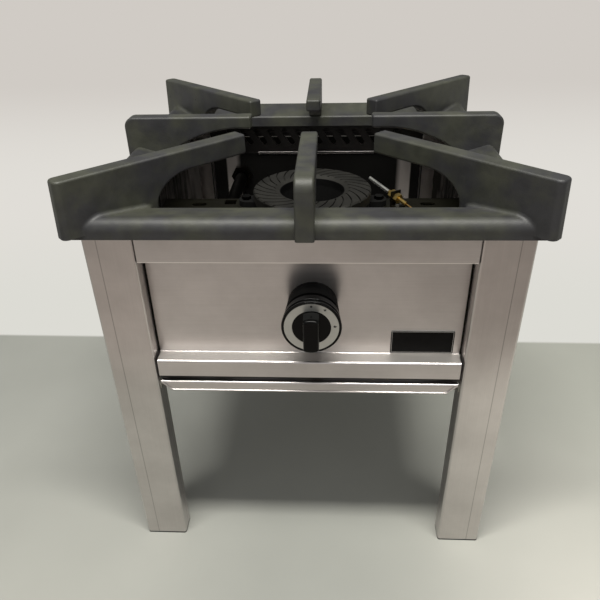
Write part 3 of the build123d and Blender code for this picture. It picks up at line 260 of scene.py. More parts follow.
def satin_stainless(name, grain_axis, bright="#cfcac8", cloud="#c1bcba", dark_line=False, shade=None,
                    soot_and_shade_colours=("#0b0a08", "#161410"), scuffed_shelf=False, painted_highlight_height=None):
    """Satin stainless whose grain runs along one axis: it blurs what it mirrors along short streaks.

    Shade, if given, is a function that returns how much dark cover lies on the metal, as a socket:
    painted shade, and in the well soot as well.
    With a scuffed shelf, upward faces are a duller, paler satin.
    Below painted_highlight_height, the colour is painted paler: a painted highlight along the edge.
    """
    material, tree, place = new_material(name)
    axes = add(tree, "ShaderNodeSeparateXYZ", inputs={0: place}).outputs
    scale = [1000 / grain_length if axis == grain_axis else 1000 / grain_width for axis in "XYZ"]
    stretched = add(tree, "ShaderNodeMapping", inputs={"Vector": place, "Scale": scale})
    grain = add(tree, "ShaderNodeTexNoise", inputs={
        "Vector": stretched.outputs[0], "Scale": 1.0, "Detail": 3.0}).outputs[0]
    marks = add(tree, "ShaderNodeTexNoise", inputs={
        "Vector": place, "Scale": 1000 / hand_mark_size, "Detail": 5.0, "Roughness": 0.6}).outputs[0]
    # the values of a noise mostly lie from 0.35 to 0.65
    colour = add(tree, "ShaderNodeMix", {"data_type": "RGBA"}, {
        mix_by: within(tree, (marks, 0.35, 0.65)), mix_from: linear(bright), mix_to: linear(cloud)})
    streak = add(tree, "ShaderNodeMapRange", inputs={
        "Value": grain, "From Min": 0.35, "From Max": 0.65, "To Min": 0.96, "To Max": 1.0})
    darker = [streak]
    if dark_line:
        for axis in (axes["X"], axes["Y"]):
            out = add(tree, "ShaderNodeMath", {"operation": "ABSOLUTE"}, {0: axis})
            off = add(tree, "ShaderNodeMath", {"operation": "SUBTRACT"},
                      {0: out.outputs[0], 1: dark_line_out})
            off = add(tree, "ShaderNodeMath", {"operation": "ABSOLUTE"}, {0: off.outputs[0]})
            darker.append(add(tree, "ShaderNodeMapRange", inputs={
                "Value": off.outputs[0], "From Min": dark_line_core, "From Max": dark_line_edge,
                "To Min": 0.62, "To Max": 1.0}))
    for share in darker:
        colour = add(tree, "ShaderNodeMix", {"data_type": "RGBA", "blend_type": "MULTIPLY"},
                     {mix_by: 1.0, mix_from: colour.outputs[mixed], mix_to: share.outputs[0]})
    # painted highlight: a paler colour below the given height, along the rail's lower edge
    if painted_highlight_height:
        painted_highlight = within(tree, (axes["Z"], painted_highlight_height, painted_highlight_height - 0.0003))
        colour = add(tree, "ShaderNodeMix", {"data_type": "RGBA"},
                     {mix_by: painted_highlight, mix_from: colour.outputs[mixed], mix_to: linear("#f4f1ed")})
    gloss = add(tree, "ShaderNodeMapRange", inputs={
        "Value": grain, "From Min": 0.3, "From Max": 0.7, "To Min": 0.28, "To Max": 0.33})
    bump = add(tree, "ShaderNodeBump", inputs={"Strength": 0.04, "Distance": 0.00005, "Height": grain})
    # the grain spreads a highlight across itself: a quarter turn from the way it runs
    along_grain = add(tree, "ShaderNodeCombineXYZ", inputs={grain_axis: 1.0})
    metal = add(tree, "ShaderNodeBsdfPrincipled", inputs={
        "Base Color": colour.outputs[mixed], "Metallic": 1.0, "Roughness": gloss.outputs[0],
        "Anisotropic": 0.55, "Anisotropic Rotation": 0.25, "Tangent": along_grain.outputs[0],
        "Normal": bump.outputs[0]})
    if scuffed_shelf:
        way = add(tree, "ShaderNodeNewGeometry").outputs["True Normal"]
        up = add(tree, "ShaderNodeSeparateXYZ", inputs={0: way}).outputs["Z"]
        scuffed = add(tree, "ShaderNodeBsdfPrincipled", inputs={
            "Base Color": linear("#c9c5c1"), "Metallic": 1.0, "Roughness": 0.50, "Normal": bump.outputs[0]})
        metal = add(tree, "ShaderNodeMixShader", inputs={
            0: within(tree, (up, 0.90, 0.97)), 1: metal.outputs[0], 2: scuffed.outputs[0]})
    if shade:
        # the dark cover: painted shade, and in the well soot with it
        soot_and_shade_colour = add(tree, "ShaderNodeMix", {"data_type": "RGBA"},
                           {mix_by: marks, mix_from: linear(soot_and_shade_colours[0]), mix_to: linear(soot_and_shade_colours[1])})
        soot = add(tree, "ShaderNodeBsdfPrincipled", inputs={
            "Base Color": soot_and_shade_colour.outputs[mixed], "Roughness": 0.8, "Specular IOR Level": 0.1})
        metal = add(tree, "ShaderNodeMixShader", inputs={
            0: shade(tree, place), 1: metal.outputs[0], 2: soot.outputs[0]})
    return surfaced(material, metal)


def dress(material, slot, *names):
    """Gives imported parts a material."""
    for name in names:
        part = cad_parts[name]
        part.data.materials.clear()
        part.data.materials.append(material)


dress(satin_stainless("stainless_grain_up", "Z", dark_line=True), "stainless",
      "front_left_leg", "front_right_leg", "rear_left_leg", "rear_right_leg")


# ---- Panels, rails and tray: the same sheet with its grain across ----------------
# The front and rear panels, the rail and the drip tray are folded from sheet whose
# grain runs from side to side; on the side panels it runs from front to back.
# Painted shade darkens the joints with the legs, the sill's underside and the tray's shelf;
# in the well, where the flame reaches, soot with painted shade darkens the rear panel and soot
# with painted reflection streaks the sides.
panel_joint = 0.1508            # from the middle to where the panel meets a leg
rail_joint = 0.1521
sill_foot = 0.2461
rail_foot = 0.3759
lip_fold_y = -0.1990
shelf_shade_start_y = -0.1965         # the painted shade on the tray's shelf is darkest here
shelf_shade_end_y = -0.1870
tray_shelf_z = 0.2372
bare_band_middle = 0.003
bare_band_start = 0.1140        # a band near each end of the rear panel is left bare
bare_band_end = 0.1362
bare_band_top = 0.3740
vents_foot = 0.3550
side_inner_face = 0.1823
side_streak_width = 14.0        # mm
side_streak_length = 120.0      # mm


def panel_joint_shade(tree, place):
    """Painted shade in the joints with the legs, and under the sill."""
    axes = add(tree, "ShaderNodeSeparateXYZ", inputs={0: place}).outputs
    out = add(tree, "ShaderNodeMath", {"operation": "ABSOLUTE"}, {0: axes["X"]})
    ends = within(tree, (out.outputs[0], panel_joint, panel_joint + 0.0005))
    under = within(tree, (axes["Z"], sill_foot, sill_foot - 0.0005))
    return add(tree, "ShaderNodeMath", {"operation": "MAXIMUM"}, {0: ends, 1: under}).outputs[0]


def rail_joint_shade(tree, place):
    """Painted shade in the joints with the legs."""
    axes = add(tree, "ShaderNodeSeparateXYZ", inputs={0: place}).outputs
    out = add(tree, "ShaderNodeMath", {"operation": "ABSOLUTE"}, {0: axes["X"]})
    return within(tree, (out.outputs[0], rail_joint, rail_joint + 0.0004), most=0.9)


def tray_shelf_shade(tree, place):
    """Painted shade, brownish black, on the shelf under the sill, darkest just behind the lip's fold."""
    axes = add(tree, "ShaderNodeSeparateXYZ", inputs={0: place}).outputs
    return within(tree, (axes["Y"], lip_fold_y, lip_fold_y + 0.0008),
                  (axes["Y"], shelf_shade_end_y, shelf_shade_start_y),
                  (axes["Z"], tray_shelf_z, tray_shelf_z + 0.0005), most=0.80)


def rear_soot_and_shade(tree, place):
    """Soot and painted shade on the faces of the rear panel and its rail that look towards the burner."""
    way = add(tree, "ShaderNodeNewGeometry").outputs["True Normal"]
    normal_y = add(tree, "ShaderNodeSeparateXYZ", inputs={0: way}).outputs["Y"]
    axes = add(tree, "ShaderNodeSeparateXYZ", inputs={0: place}).outputs
    centred = add(tree, "ShaderNodeMath", {"operation": "SUBTRACT"},
                  {0: axes["X"], 1: bare_band_middle})
    out = add(tree, "ShaderNodeMath", {"operation": "ABSOLUTE"}, {0: centred.outputs[0]}).outputs[0]
    bare = within(tree, (out, bare_band_start, bare_band_start + 0.0070),
                  (out, bare_band_end, bare_band_end - 0.0017),
                  (axes["Z"], bare_band_top, bare_band_top - 0.0040))
    # round the vents the dark cover is a little lighter
    lighter_by_vents = within(tree, (axes["Z"], vents_foot, vents_foot + 0.0015), most=0.07)
    clean = add(tree, "ShaderNodeMath", {"operation": "ADD"}, {0: bare, 1: lighter_by_vents}).outputs[0]
    return within(tree, (normal_y, -0.5, -0.8), (clean, 1.0, 0.0))


def side_soot_and_reflection(tree, place):
    """Upright streaks of soot and painted reflection on the side panels' inner faces, with bare metal
    between them.
    """
    axes = add(tree, "ShaderNodeSeparateXYZ", inputs={0: place}).outputs
    out = add(tree, "ShaderNodeMath", {"operation": "ABSOLUTE"}, {0: axes["X"]})
    streak_scale = (1000 / side_streak_width, 1000 / side_streak_width, 1000 / side_streak_length)
    upright = add(tree, "ShaderNodeMapping", inputs={"Vector": place, "Scale": streak_scale})
    streaks = add(tree, "ShaderNodeTexNoise", inputs={
        "Vector": upright.outputs[0], "Scale": 1.0, "Detail": 3.0})
    cover = add(tree, "ShaderNodeMapRange", inputs={
        "Value": streaks.outputs[0], "From Min": 0.62, "From Max": 0.44, "To Min": 0.50, "To Max": 0.97})
    return within(tree, (out.outputs[0], side_inner_face, side_inner_face - 0.0004), most=cover.outputs[0])


dress(satin_stainless("stainless_tray", "X", shade=tray_shelf_shade), "stainless", "drip_tray")
# the rail's lower edge carries a painted highlight line
dress(satin_stainless("stainless_rail", "X", shade=rail_joint_shade, painted_highlight_height=rail_foot),
      "stainless", "front_rail")
dress(satin_stainless("stainless_panel", "X", shade=panel_joint_shade, scuffed_shelf=True),
      "stainless", "control_panel")
# soot and painted shade on the rear panel's faces towards the burner
dress(satin_stainless("stainless_soot_and_shade", "X", shade=rear_soot_and_shade, soot_and_shade_colours=("#030302", "#080706")),
      "stainless", "rear_panel")
dress(satin_stainless("stainless_sides", "Y", shade=side_soot_and_reflection),
      "stainless", "left_side_panel", "right_side_panel")


# ---- Shade strip: thin stainless sheet, a dark sheet put in the shade ------------
# It hangs behind the rear rail, where the wall stands in the range's shade; its front is painted
# shade, so what shows through the vents is dark but for its sheared upper edge, whose paler
# steel gives a painted highlight.
strip_half = 0.1500
strip_y = 0.1970
strip_low = 0.3570
strip_high = 0.3762
strip_sheet = 0.0010


def strip_shade(tree, place):
    """Painted shade on the strip's front, below its bright upper edge."""
    axes = add(tree, "ShaderNodeSeparateXYZ", inputs={0: place}).outputs
    return within(tree, (axes["Y"], strip_y + 0.0002, strip_y - 0.0002),
                  (axes["Z"], strip_high - 0.0005, strip_high - 0.0009))


bm = bmesh.new()
strip_corners = [(-strip_half, strip_low), (strip_half, strip_low),
                 (strip_half, strip_high), (-strip_half, strip_high)]
bm.faces.new([bm.verts.new((x, strip_y, z)) for x, z in strip_corners])
# a dark sheet that stands for the shade behind the range; its pale steel edge is a painted highlight
shade_strip = mesh_object("shade_strip", bm, satin_stainless(
    "stainless_shade_strip", "X", bright="#f0ede8", cloud="#e4e0da", shade=strip_shade), smooth=False)
strip_thickness = shade_strip.modifiers.new("sheet_thickness", "SOLIDIFY")
strip_thickness.thickness = strip_sheet
strip_thickness.offset = 0.0
strip_edge = shade_strip.modifiers.new("sheared_edge", "BEVEL")
strip_edge.width = strip_sheet / 4
strip_edge.segments = 2
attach(shade_strip, "range")


# ---- Rolled foot of the tray's lip -----------------------------------------------
# The stainless lip's lower edge is rolled outwards into a thin bead, which catches
# the light.  At both ends it turns up along the lip's mitred corners.
rim_y = -0.2002
rim_z = 0.2282
rim_half = 0.1385
rim_radius = 0.0009
rim_bend = (0.003, 0.0022)      # outwards and up from the end of the straight run
rim_tip = (0.0085, 0.0085)

rim_curve = bpy.data.curves.new("tray_lip_rim", "CURVE")
rim_curve.dimensions = "3D"
rim_curve.bevel_depth = rim_radius
rim_curve.bevel_resolution = 4
rim_curve.use_fill_caps = True
rim_end = [(rim_half + out, rim_z + up) for out, up in (rim_tip, rim_bend, (0.0, 0.0))]
rim_points = [(-x, z) for x, z in rim_end] + rim_end[::-1]
rim_path = rim_curve.splines.new("POLY")
rim_path.points.add(len(rim_points) - 1)
for point, (x, z) in zip(rim_path.points, rim_points):
    point.co = (x, rim_y, z, 1.0)
rim_curve.materials.append(satin_stainless("stainless_grain_across", "X"))
tray_rim = bpy.data.objects.new("tray_lip_rim", rim_curve)
scene.collection.objects.link(tray_rim)
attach(tray_rim, "drip_tray")


# ---- Foot glides: black polyethylene ----------------------------------------------
# Moulded caps pushed into the legs' ends; only a thin dark edge shows.  Their fine
# grit keeps them dull.
glide_grit = 1.5                # mm; drawn coarser so that it shows


def moulded_polyethylene():
    """Waxy black plastic with a slight grain, which lights up only dimly."""
    material, tree, place = new_material("black_polyethylene")
    grit = add(tree, "ShaderNodeTexNoise", inputs={
        "Vector": place, "Scale": 1000 / glide_grit, "Detail": 2.0}).outputs[0]
    bump = add(tree, "ShaderNodeBump", inputs={"Strength": 0.2, "Distance": 0.0001, "Height": grit})
    colour = add(tree, "ShaderNodeMix", {"data_type": "RGBA"},
                 {mix_by: grit, mix_from: linear("#1c1c1b"), mix_to: linear("#2a2a28")})
    return surfaced(material, add(tree, "ShaderNodeBsdfPrincipled", inputs={
        "Base Color": colour.outputs[mixed], "Roughness": 0.55, "IOR": 1.51, "Normal": bump.outputs[0]}))


dress(moulded_polyethylene(), "glide_plastic", "foot_glides")


# ---- Runners, burner brackets and screws: zinc-plated steel ------------------------
# Strips pressed from plated sheet, and plated screws and pins.  Heat has dulled the
# brackets to a greenish brown; the supply pipe and the burner's bolts are sooty.
zinc_stain_size = 25.0          # mm


def dulled_zinc(name, clean, dull):
    """Plated steel whose shine has gone cloudy in patches."""
    material, tree, place = new_material(name)
    stain = add(tree, "ShaderNodeTexNoise", inputs={
        "Vector": place, "Scale": 1000 / zinc_stain_size, "Detail": 5.0}).outputs[0]
    colour = add(tree, "ShaderNodeMix", {"data_type": "RGBA"}, {
        mix_by: within(tree, (stain, 0.35, 0.65)), mix_from: linear(clean), mix_to: linear(dull)})
    gloss = add(tree, "ShaderNodeMapRange", inputs={
        "Value": stain, "From Min": 0.3, "From Max": 0.7, "To Min": 0.38, "To Max": 0.55})
    return surfaced(material, add(tree, "ShaderNodeBsdfPrincipled", inputs={
        "Base Color": colour.outputs[mixed], "Metallic": 1.0, "Roughness": gloss.outputs[0]}))


dress(dulled_zinc("heat_dulled_zinc", "#3f3d33", "#2a2920"), "galvanised",
      "left_burner_bracket", "right_burner_bracket", "thermocouple_bracket")
dress(dulled_zinc("zinc_plate", "#a9a9a4", "#92928b"), "galvanised",
      "left_tray_runner", "right_tray_runner", "injector_cage", "tap_magnet_unit", "outlet_tube")
sooted_steel = dulled_zinc("sooted_steel", "#1b1a18", "#11100f")
dress(sooted_steel, "galvanised", "supply_pipe")
dress(sooted_steel, "zinc_fasteners", "burner_bolts")
bright_zinc = dulled_zinc("bright_zinc", "#c4c4c0", "#b0b0ab")
dress(bright_zinc, "zinc_fasteners", "runner_screws", "bracket_screws", "tap_screws", "tab_screw",
      "tap_spindle", "tap_push_rod", "thermocouple_probe")


# ---- Burner: sand-cast iron --------------------------------------------------------
# The body and the loose cap keep the sand's fine grit.  The cap's top was ground flat
# before its curved flame grooves were cut, so it is paler; inside the ring it is sooty.
sand_grit = 1.6                 # mm; drawn coarser so that it shows
iron_patch_size = 18.0          # mm
ring_inner_edge = 0.0386


def sand_cast_iron(name, high, low, roughness, soot_within=None):
    """Dull gritty iron; closer to the burner's axis than soot_within it is black with soot."""
    material, tree, place = new_material(name)
    grit = add(tree, "ShaderNodeTexNoise", inputs={
        "Vector": place, "Scale": 1000 / sand_grit, "Detail": 4.0})
    patch = add(tree, "ShaderNodeTexNoise", inputs={
        "Vector": place, "Scale": 1000 / iron_patch_size, "Detail": 3.0})
    colour = add(tree, "ShaderNodeMix", {"data_type": "RGBA"},
                 {mix_by: patch.outputs[0], mix_from: linear(high), mix_to: linear(low)})
    if soot_within:
        flat = add(tree, "ShaderNodeVectorMath", {"operation": "MULTIPLY"},
                   {0: place, 1: (1.0, 1.0, 0.0)})
        radius = add(tree, "ShaderNodeVectorMath", {"operation": "LENGTH"}, {0: flat.outputs[0]})
        colour = add(tree, "ShaderNodeMix", {"data_type": "RGBA"}, {
            mix_by: within(tree, (radius.outputs["Value"], soot_within, soot_within - 0.0003)),
            mix_from: colour.outputs[mixed], mix_to: linear("#020202")})
    bump = add(tree, "ShaderNodeBump", inputs={
        "Strength": 0.5, "Distance": 0.0003, "Height": grit.outputs[0]})
    return surfaced(material, add(tree, "ShaderNodeBsdfPrincipled", inputs={
        "Base Color": colour.outputs[mixed], "Metallic": 0.6, "Roughness": roughness,
        "Normal": bump.outputs[0]}))


dress(sand_cast_iron("burner_cap_iron", "#302f2b", "#1c1b19", roughness=0.6,
                     soot_within=ring_inner_edge), "burner_iron", "burner_cap")
# the body's near-black colour is painted shade, so the burner's hollow reads black
dress(sand_cast_iron("burner_body_iron", "#080807", "#050505", roughness=0.9),
      "burner_iron", "burner_body")


# ---- Gas fittings: brass and copper ------------------------------------------------
# Turned and milled from brass bar; the thermocouple's lead is drawn copper tube.
# Soot has blackened the union, the locknut and the inlet's near end.
tarnish_size = 9.0              # mm
inlet_soot_end = 0.1990         # 4 mm past the inlet's hexagon


def drawn_metal(name, bright, dark, roughness, soot_before=None):
    """A drawn or turned metal with cloudy tarnish; in front of soot_before it is black with soot."""
    material, tree, place = new_material(name)
    tarnish = add(tree, "ShaderNodeTexNoise", inputs={
        "Vector": place, "Scale": 1000 / tarnish_size, "Detail": 3.0})
    colour = add(tree, "ShaderNodeMix", {"data_type": "RGBA"},
                 {mix_by: tarnish.outputs[0], mix_from: linear(bright), mix_to: linear(dark)})
    if soot_before:
        axes = add(tree, "ShaderNodeSeparateXYZ", inputs={0: place}).outputs
        colour = add(tree, "ShaderNodeMix", {"data_type": "RGBA"}, {
            mix_by: within(tree, (axes["Y"], soot_before, soot_before + 0.001)),
            mix_from: linear("#151310"), mix_to: colour.outputs[mixed]})
    return surfaced(material, add(tree, "ShaderNodeBsdfPrincipled", inputs={
        "Base Color": colour.outputs[mixed], "Metallic": 1.0, "Roughness": roughness}))


dress(drawn_metal("turned_brass", "#e3c982", "#b08f4a", roughness=0.3),
      "brass", "tap_body", "tap_bonnet", "tube_nuts", "injector_holder",
      "thermocouple_sleeve", "thermocouple_nuts", "lead_nut")
dress(drawn_metal("brass_behind_panel", "#e3c982", "#b08f4a", roughness=0.3,
                  soot_before=inlet_soot_end), "brass", "gas_inlet")
dress(drawn_metal("sooted_brass", "#1d1a15", "#12100d", roughness=0.5),
      "brass", "pipe_union", "inlet_locknut")
dress(drawn_metal("drawn_copper", "#cda66c", "#8f6f3e", roughness=0.35),
      "copper", "thermocouple_lead")


# ---- Return spring: music wire -----------------------------------------------------
# Cold-coiled and zinc-plated.  It stands in the tap's chamber, round the axis that
# the tap, the knob and the dial share.
tap_axis_x = 0.0055
tap_axis_z = 0.3230
spring_front_y = -0.1776
spring_back_y = -0.1640
spring_wire = 0.0008
spring_coil_radius = 0.00552
spring_turns = 6
spring_steps = 24               # in each turn
spring_sides = 8                # of the wire's section


def coiled_wire(name, material):
    """A closed helical tube along Y."""
    bm = bmesh.new()
    length = spring_back_y - spring_front_y - spring_wire
    count = spring_turns * spring_steps
    rings = []
    for k in range(count + 1):
        angle = math.tau * k / spring_steps
        outwards = Vector((math.sin(angle), 0.0, math.cos(angle)))
        along = spring_front_y + spring_wire / 2 + length * k / count
        centre = Vector((tap_axis_x, along, tap_axis_z)) + spring_coil_radius * outwards
        ring = []
        for side in range(spring_sides):
            turned = math.tau * side / spring_sides
            way = outwards * math.cos(turned) + Vector((0.0, math.sin(turned), 0.0))
            ring.append(bm.verts.new(centre + spring_wire / 2 * way))
        rings.append(ring)
    for here, there in zip(rings, rings[1:]):
        for j in range(spring_sides):
            j_next = (j + 1) % spring_sides
            bm.faces.new((here[j], here[j_next], there[j_next], there[j]))
    bm.faces.new(rings[0])
    bm.faces.new(rings[-1][::-1])
    bmesh.ops.recalc_face_normals(bm, faces=bm.faces)
    return mesh_object(name, bm, material)


return_spring = coiled_wire("return_spring_wire", bright_zinc)
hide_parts("tap_return_spring")
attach(return_spring, "range")
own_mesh(return_spring)


# ---- Knob: glossy black phenolic ---------------------------------------------------
# Compression-moulded and as shiny as its mould, with two beads round its skirt.  The
# collar behind it is the same plastic, left matt.
knob_haze_size = 12.0           # mm
moulded_edge = 0.0006
bead_steps = 96
bead_section = [(-0.5, -1.0), (-0.85, -0.85), (-1.0, -0.5), (-1.0, 0.5), (-0.85, 0.85), (-0.5, 1.0),
                (0.5, 1.0), (0.85, 0.85), (1.0, 0.5), (1.0, -0.5), (0.85, -0.85), (0.5, -1.0)]


def moulded_phenolic(name, specular, smoothest, roughest):
    """Black plastic that mirrors the lamp sharply where its mould was polished, with a faint haze."""
    material, tree, place = new_material(name)
    haze = add(tree, "ShaderNodeTexNoise", inputs={
        "Vector": place, "Scale": 1000 / knob_haze_size, "Detail": 3.0}).outputs[0]
    colour = add(tree, "ShaderNodeMix", {"data_type": "RGBA"},
                 {mix_by: haze, mix_from: linear("#030303"), mix_to: linear("#070707")})
    gloss = add(tree, "ShaderNodeMapRange", inputs={
        "Value": haze, "From Min": 0.3, "From Max": 0.7, "To Min": smoothest, "To Max": roughest})
    return surfaced(material, add(tree, "ShaderNodeBsdfPrincipled", inputs={
        "Base Color": colour.outputs[mixed], "Roughness": gloss.outputs[0], "IOR": 1.6,
        "Specular IOR Level": specular}))


def moulded_bead(name, material, radius, thickness, front):
    """A rounded ring about the knob that stands out to a radius."""
    bm = bmesh.new()
    half = thickness / 2
    rings = []
    for k in range(bead_steps):
        angle = math.tau * k / bead_steps
        ring = []
        for out, back in bead_section:
            r = radius - half + half * out
            ring.append(bm.verts.new((tap_axis_x + r * math.sin(angle), front + half + half * back,
                                      tap_axis_z + r * math.cos(angle))))
        rings.append(ring)
    for here, there in zip(rings, rings[1:] + rings[:1]):
        for j in range(len(bead_section)):
            j_next = (j + 1) % len(bead_section)
            bm.faces.new((here[j], there[j], there[j_next], here[j_next]))
    bmesh.ops.recalc_face_normals(bm, faces=bm.faces)
    bead = mesh_object(name, bm, material)
    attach(bead, "knob")


dress(moulded_phenolic("phenolic_knob", specular=0.10, smoothest=0.10, roughest=0.16),
      "black_plastic", "knob")
dress(moulded_phenolic("matt_phenolic", specular=0.02, smoothest=0.45, roughest=0.60),
      "black_plastic", "knob_bezel")
for name in ("knob", "knob_bezel"):
    soft_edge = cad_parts[name].modifiers.new("soft_edge", "BEVEL")
    soft_edge.width = moulded_edge
    soft_edge.segments = 3
    soft_edge.limit_method = "ANGLE"
    soft_edge.angle_limit = math.radians(30)
glossy_phenolic = moulded_phenolic("glossy_phenolic", specular=0.16, smoothest=0.07, roughest=0.12)
moulded_bead("knob_front_bead", glossy_phenolic, radius=0.0274, thickness=0.0022, front=-0.2252)
moulded_bead("knob_back_bead", glossy_phenolic, radius=0.0268, thickness=0.0018, front=-0.2190)


# ---- Dial: satin aluminium ring with printed marks ---------------------------------
# Spun and lacquered, pressed into the knob's face.  Black ink: a dot for off, a spark
# for lighting and two flames, large and small, a turn further on each time.
dial_face_y = -0.22525
ink_thickness = 0.00008
ink_wear_size = 1.2             # mm
mark_radius = 22.4              # mm, from the dial's axis to the dot's and spark's middles
flame_radius = 21.4             # mm
dot_size = 1.15                 # mm, a radius
spark_tip, spark_valley = 1.7, 0.75


def printed_ink():
    """Flat black ink, worn a little grey."""
    material, tree, place = new_material("black_dial_ink")
    worn = add(tree, "ShaderNodeTexNoise", inputs={
        "Vector": place, "Scale": 1000 / ink_wear_size, "Detail": 2.0})
    colour = add(tree, "ShaderNodeMix", {"data_type": "RGBA"},
                 {mix_by: worn.outputs[0], mix_from: linear("#0b0b0b"), mix_to: linear("#2b2b2b")})
    return surfaced(material, add(tree, "ShaderNodeBsdfPrincipled", inputs={
        "Base Color": colour.outputs[mixed], "Roughness": 0.6}))


def dial_mark(name, outline, turn, radius):
    """A flat mark from its outline in mm, upright towards the dial's rim, turned clockwise from the top."""
    bm = bmesh.new()
    angle = math.radians(turn)
    ring = []
    for across, outwards in outline:
        far = radius + outwards
        x = tap_axis_x + (across * math.cos(angle) + far * math.sin(angle)) / 1000
        z = tap_axis_z + (far * math.cos(angle) - across * math.sin(angle)) / 1000
        ring.append(bm.verts.new((x, dial_face_y - ink_thickness, z)))
    face = bm.faces.new(ring)
    print_depth = bmesh.ops.extrude_face_region(bm, geom=[face])
    for part in print_depth["geom"]:
        if isinstance(part, bmesh.types.BMVert):
            part.co.y += ink_thickness
    bmesh.ops.recalc_face_normals(bm, faces=bm.faces)
    mark = mesh_object(name, bm, dial_ink, smooth=False)
    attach(mark, "knob")


dress(drawn_metal("satin_dial", "#c9cac6", "#b9bab6", roughness=0.42), "dial_metal", "dial_ring")
dial_ink = printed_ink()
dot = [(dot_size * math.cos(math.tau * k / 20), dot_size * math.sin(math.tau * k / 20))
       for k in range(20)]
spark = []
for k in range(12):
    reach = spark_valley if k % 2 else spark_tip
    spark.append((reach * math.cos(math.tau * k / 12), reach * math.sin(math.tau * k / 12)))
flame = [(0.0, 2.1), (0.5, 1.1), (1.2, 0.3), (1.3, -0.6), (0.8, -1.4), (0.0, -1.7),
         (-0.8, -1.4), (-1.3, -0.6), (-1.0, 0.2), (-0.6, 0.0), (-0.3, 1.0)]
large_flame = [(0.9 * across, 0.9 * outwards) for across, outwards in flame]
small_flame = [(0.6 * across, 0.6 * outwards) for across, outwards in flame]
dial_mark("dial_mark_off", dot, turn=0, radius=mark_radius)
dial_mark("dial_mark_spark", spark, turn=33, radius=mark_radius)
dial_mark("dial_mark_large_flame", large_flame, turn=86, radius=flame_radius)
dial_mark("dial_mark_small_flame", small_flame, turn=174, radius=flame_radius)


# ---- Bare plate on the panel: black enamelled aluminium ----------------------------
# A pressed plate with a bright cut edge, glued beside the knob.  A fine line of bare
# metal runs round it, a little inside its edge; otherwise it is plain.
plate_left = 0.0821
plate_right = 0.1441
plate_low = 0.2660
plate_high = 0.2925
plate_thickness = 0.0012
plate_back_y = -0.1830          # the panel's face
plate_corner = 0.0006
plate_edge = 0.0003
line_inset = 0.0009
line_width = 0.0005
line_fade = 0.0001
enamel_wave_size = 9.0          # mm
plate_centre = Vector(((plate_left + plate_right) / 2, 0.0, (plate_low + plate_high) / 2))
inside_line = Vector(((plate_right - plate_left) / 2 - line_inset - line_width, 0.0,
                      (plate_high - plate_low) / 2 - line_inset - line_width))


def enamelled_plate():
    """Smooth black enamel that dulls what it mirrors, and the line where bare metal shows."""
    material, tree, place = new_material("black_enamelled_aluminium")
    wave = add(tree, "ShaderNodeTexNoise", inputs={
        "Vector": place, "Scale": 1000 / enamel_wave_size, "Detail": 2.0}).outputs[0]
    colour = add(tree, "ShaderNodeMix", {"data_type": "RGBA"},
                 {mix_by: wave, mix_from: linear("#060606"), mix_to: linear("#0d0d0d")})
    gloss = add(tree, "ShaderNodeMapRange", inputs={
        "Value": wave, "From Min": 0.3, "From Max": 0.7, "To Min": 0.28, "To Max": 0.40})
    enamel = add(tree, "ShaderNodeBsdfPrincipled", inputs={
        "Base Color": colour.outputs[mixed], "Roughness": gloss.outputs[0], "Specular IOR Level": 0.08})
    off = add(tree, "ShaderNodeVectorMath", {"operation": "SUBTRACT"}, {0: place, 1: plate_centre})
    off = add(tree, "ShaderNodeVectorMath", {"operation": "ABSOLUTE"}, {0: off.outputs[0]})
    past = add(tree, "ShaderNodeVectorMath", {"operation": "SUBTRACT"},
               {0: off.outputs[0], 1: inside_line})
    axes = add(tree, "ShaderNodeSeparateXYZ", inputs={0: past.outputs[0]}).outputs
    past = add(tree, "ShaderNodeMath", {"operation": "MAXIMUM"},
               {0: axes["X"], 1: axes["Z"]}).outputs[0]
    line = within(tree, (past, 0.0, line_fade), (past, line_width, line_width - line_fade))
    bare = add(tree, "ShaderNodeBsdfPrincipled", inputs={
        "Base Color": linear("#a9a9a7"), "Metallic": 1.0, "Roughness": 0.45})
    return surfaced(material, add(tree, "ShaderNodeMixShader", inputs={
        0: line, 1: enamel.outputs[0], 2: bare.outputs[0]}))


bm = bmesh.new()
bmesh.ops.create_cube(bm, size=1.0)
for vert in bm.verts:
    vert.co.x = plate_left if vert.co.x < 0 else plate_right
    vert.co.y = plate_back_y - plate_thickness if vert.co.y < 0 else plate_back_y
    vert.co.z = plate_low if vert.co.z < 0 else plate_high
corner_edges = [edge for edge in bm.edges
                if abs(edge.verts[0].co.y - edge.verts[1].co.y) > plate_thickness / 2]
bmesh.ops.bevel(bm, geom=corner_edges, offset=plate_corner, segments=3, affect="EDGES")
front_edges = [edge for edge in bm.edges
               if all(vert.co.y < plate_back_y - plate_thickness * 0.9 for vert in edge.verts)]
bmesh.ops.bevel(bm, geom=front_edges, offset=plate_edge, segments=2, affect="EDGES")
bare_plate = mesh_object("bare_plate", bm, enamelled_plate(), smooth=False)
bare_plate.data.materials.append(drawn_metal("cut_aluminium", "#c8c8c6", "#a8a8a6", roughness=0.35))
for face in bare_plate.data.polygons:
    if face.normal.y > -0.98:       # all but the front face
        face.material_index = 1
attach(bare_plate, "range")


# ---- Pot grate: enamelled cast iron -------------------------------------------------
# One heavy casting, sprayed with matt dark grey enamel.  The enamel rounds every
# edge and lies thinner over the sand's grit; here and there a blowhole is left.
enamel_grit = 1.8               # mm; drawn coarser so that it shows
casting_lumps = 14.0            # mm
spray_drift = 45.0              # mm
blowhole_spacing = 26.0         # mm; about a quarter of the places have one, 2 mm across


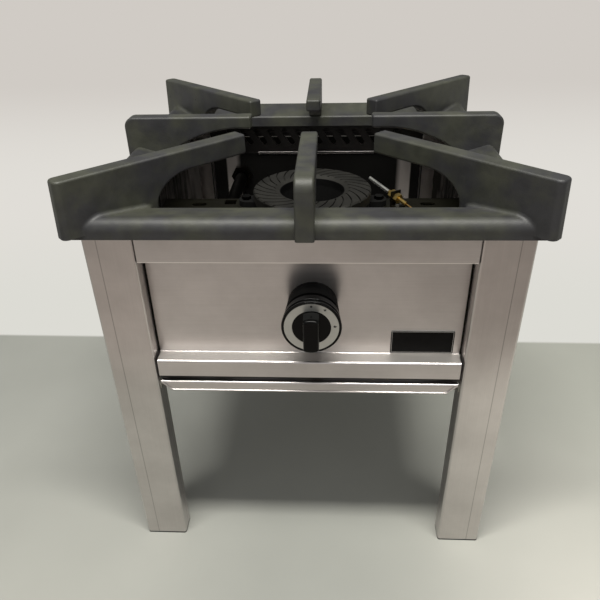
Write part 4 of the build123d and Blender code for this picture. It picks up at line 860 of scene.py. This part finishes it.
def matt_enamel():
    """A soft dark sheen over a slightly lumpy casting, in patches that lean to olive or to blue."""
    material, tree, place = new_material("matt_grey_enamel")
    grit = add(tree, "ShaderNodeTexNoise", inputs={
        "Vector": place, "Scale": 1000 / enamel_grit, "Detail": 4.0})
    lumps = add(tree, "ShaderNodeTexNoise", inputs={
        "Vector": place, "Scale": 1000 / casting_lumps, "Detail": 3.0}).outputs[0]
    drift = add(tree, "ShaderNodeTexNoise", inputs={
        "Vector": place, "Scale": 1000 / spray_drift, "Detail": 4.0, "Roughness": 0.6})
    colour = add(tree, "ShaderNodeMix", {"data_type": "RGBA"}, {
        mix_by: within(tree, (drift.outputs[0], 0.40, 0.60)),
        mix_from: linear("#383930"), mix_to: linear("#2b2b2d")})
    shade = add(tree, "ShaderNodeMapRange", inputs={
        "Value": lumps, "From Min": 0.35, "From Max": 0.65, "To Min": 0.80, "To Max": 1.12})
    colour = add(tree, "ShaderNodeMix", {"data_type": "RGBA", "blend_type": "MULTIPLY"},
                 {mix_by: 1.0, mix_from: colour.outputs[mixed], mix_to: shade.outputs[0]})
    cells = add(tree, "ShaderNodeTexVoronoi", inputs={
        "Vector": place, "Scale": 1000 / blowhole_spacing}).outputs
    chance = add(tree, "ShaderNodeSeparateColor", inputs={0: cells["Color"]})
    blowhole = within(tree, (chance.outputs[0], 0.72, 0.74), (cells["Distance"], 0.055, 0.030))
    colour = add(tree, "ShaderNodeMix", {"data_type": "RGBA"},
                 {mix_by: blowhole, mix_from: colour.outputs[mixed], mix_to: linear("#0d0d0c")})
    coarse = add(tree, "ShaderNodeBump", inputs={
        "Strength": 0.35, "Distance": 0.0012, "Height": lumps})
    fine = add(tree, "ShaderNodeBump", inputs={
        "Strength": 0.35, "Distance": 0.00025, "Height": grit.outputs[0], "Normal": coarse.outputs[0]})
    return surfaced(material, add(tree, "ShaderNodeBsdfPrincipled", inputs={
        "Base Color": colour.outputs[mixed], "Roughness": 0.54, "IOR": 1.52, "Normal": fine.outputs[0]}))


dress(matt_enamel(), "enamelled_iron", "pot_grate")
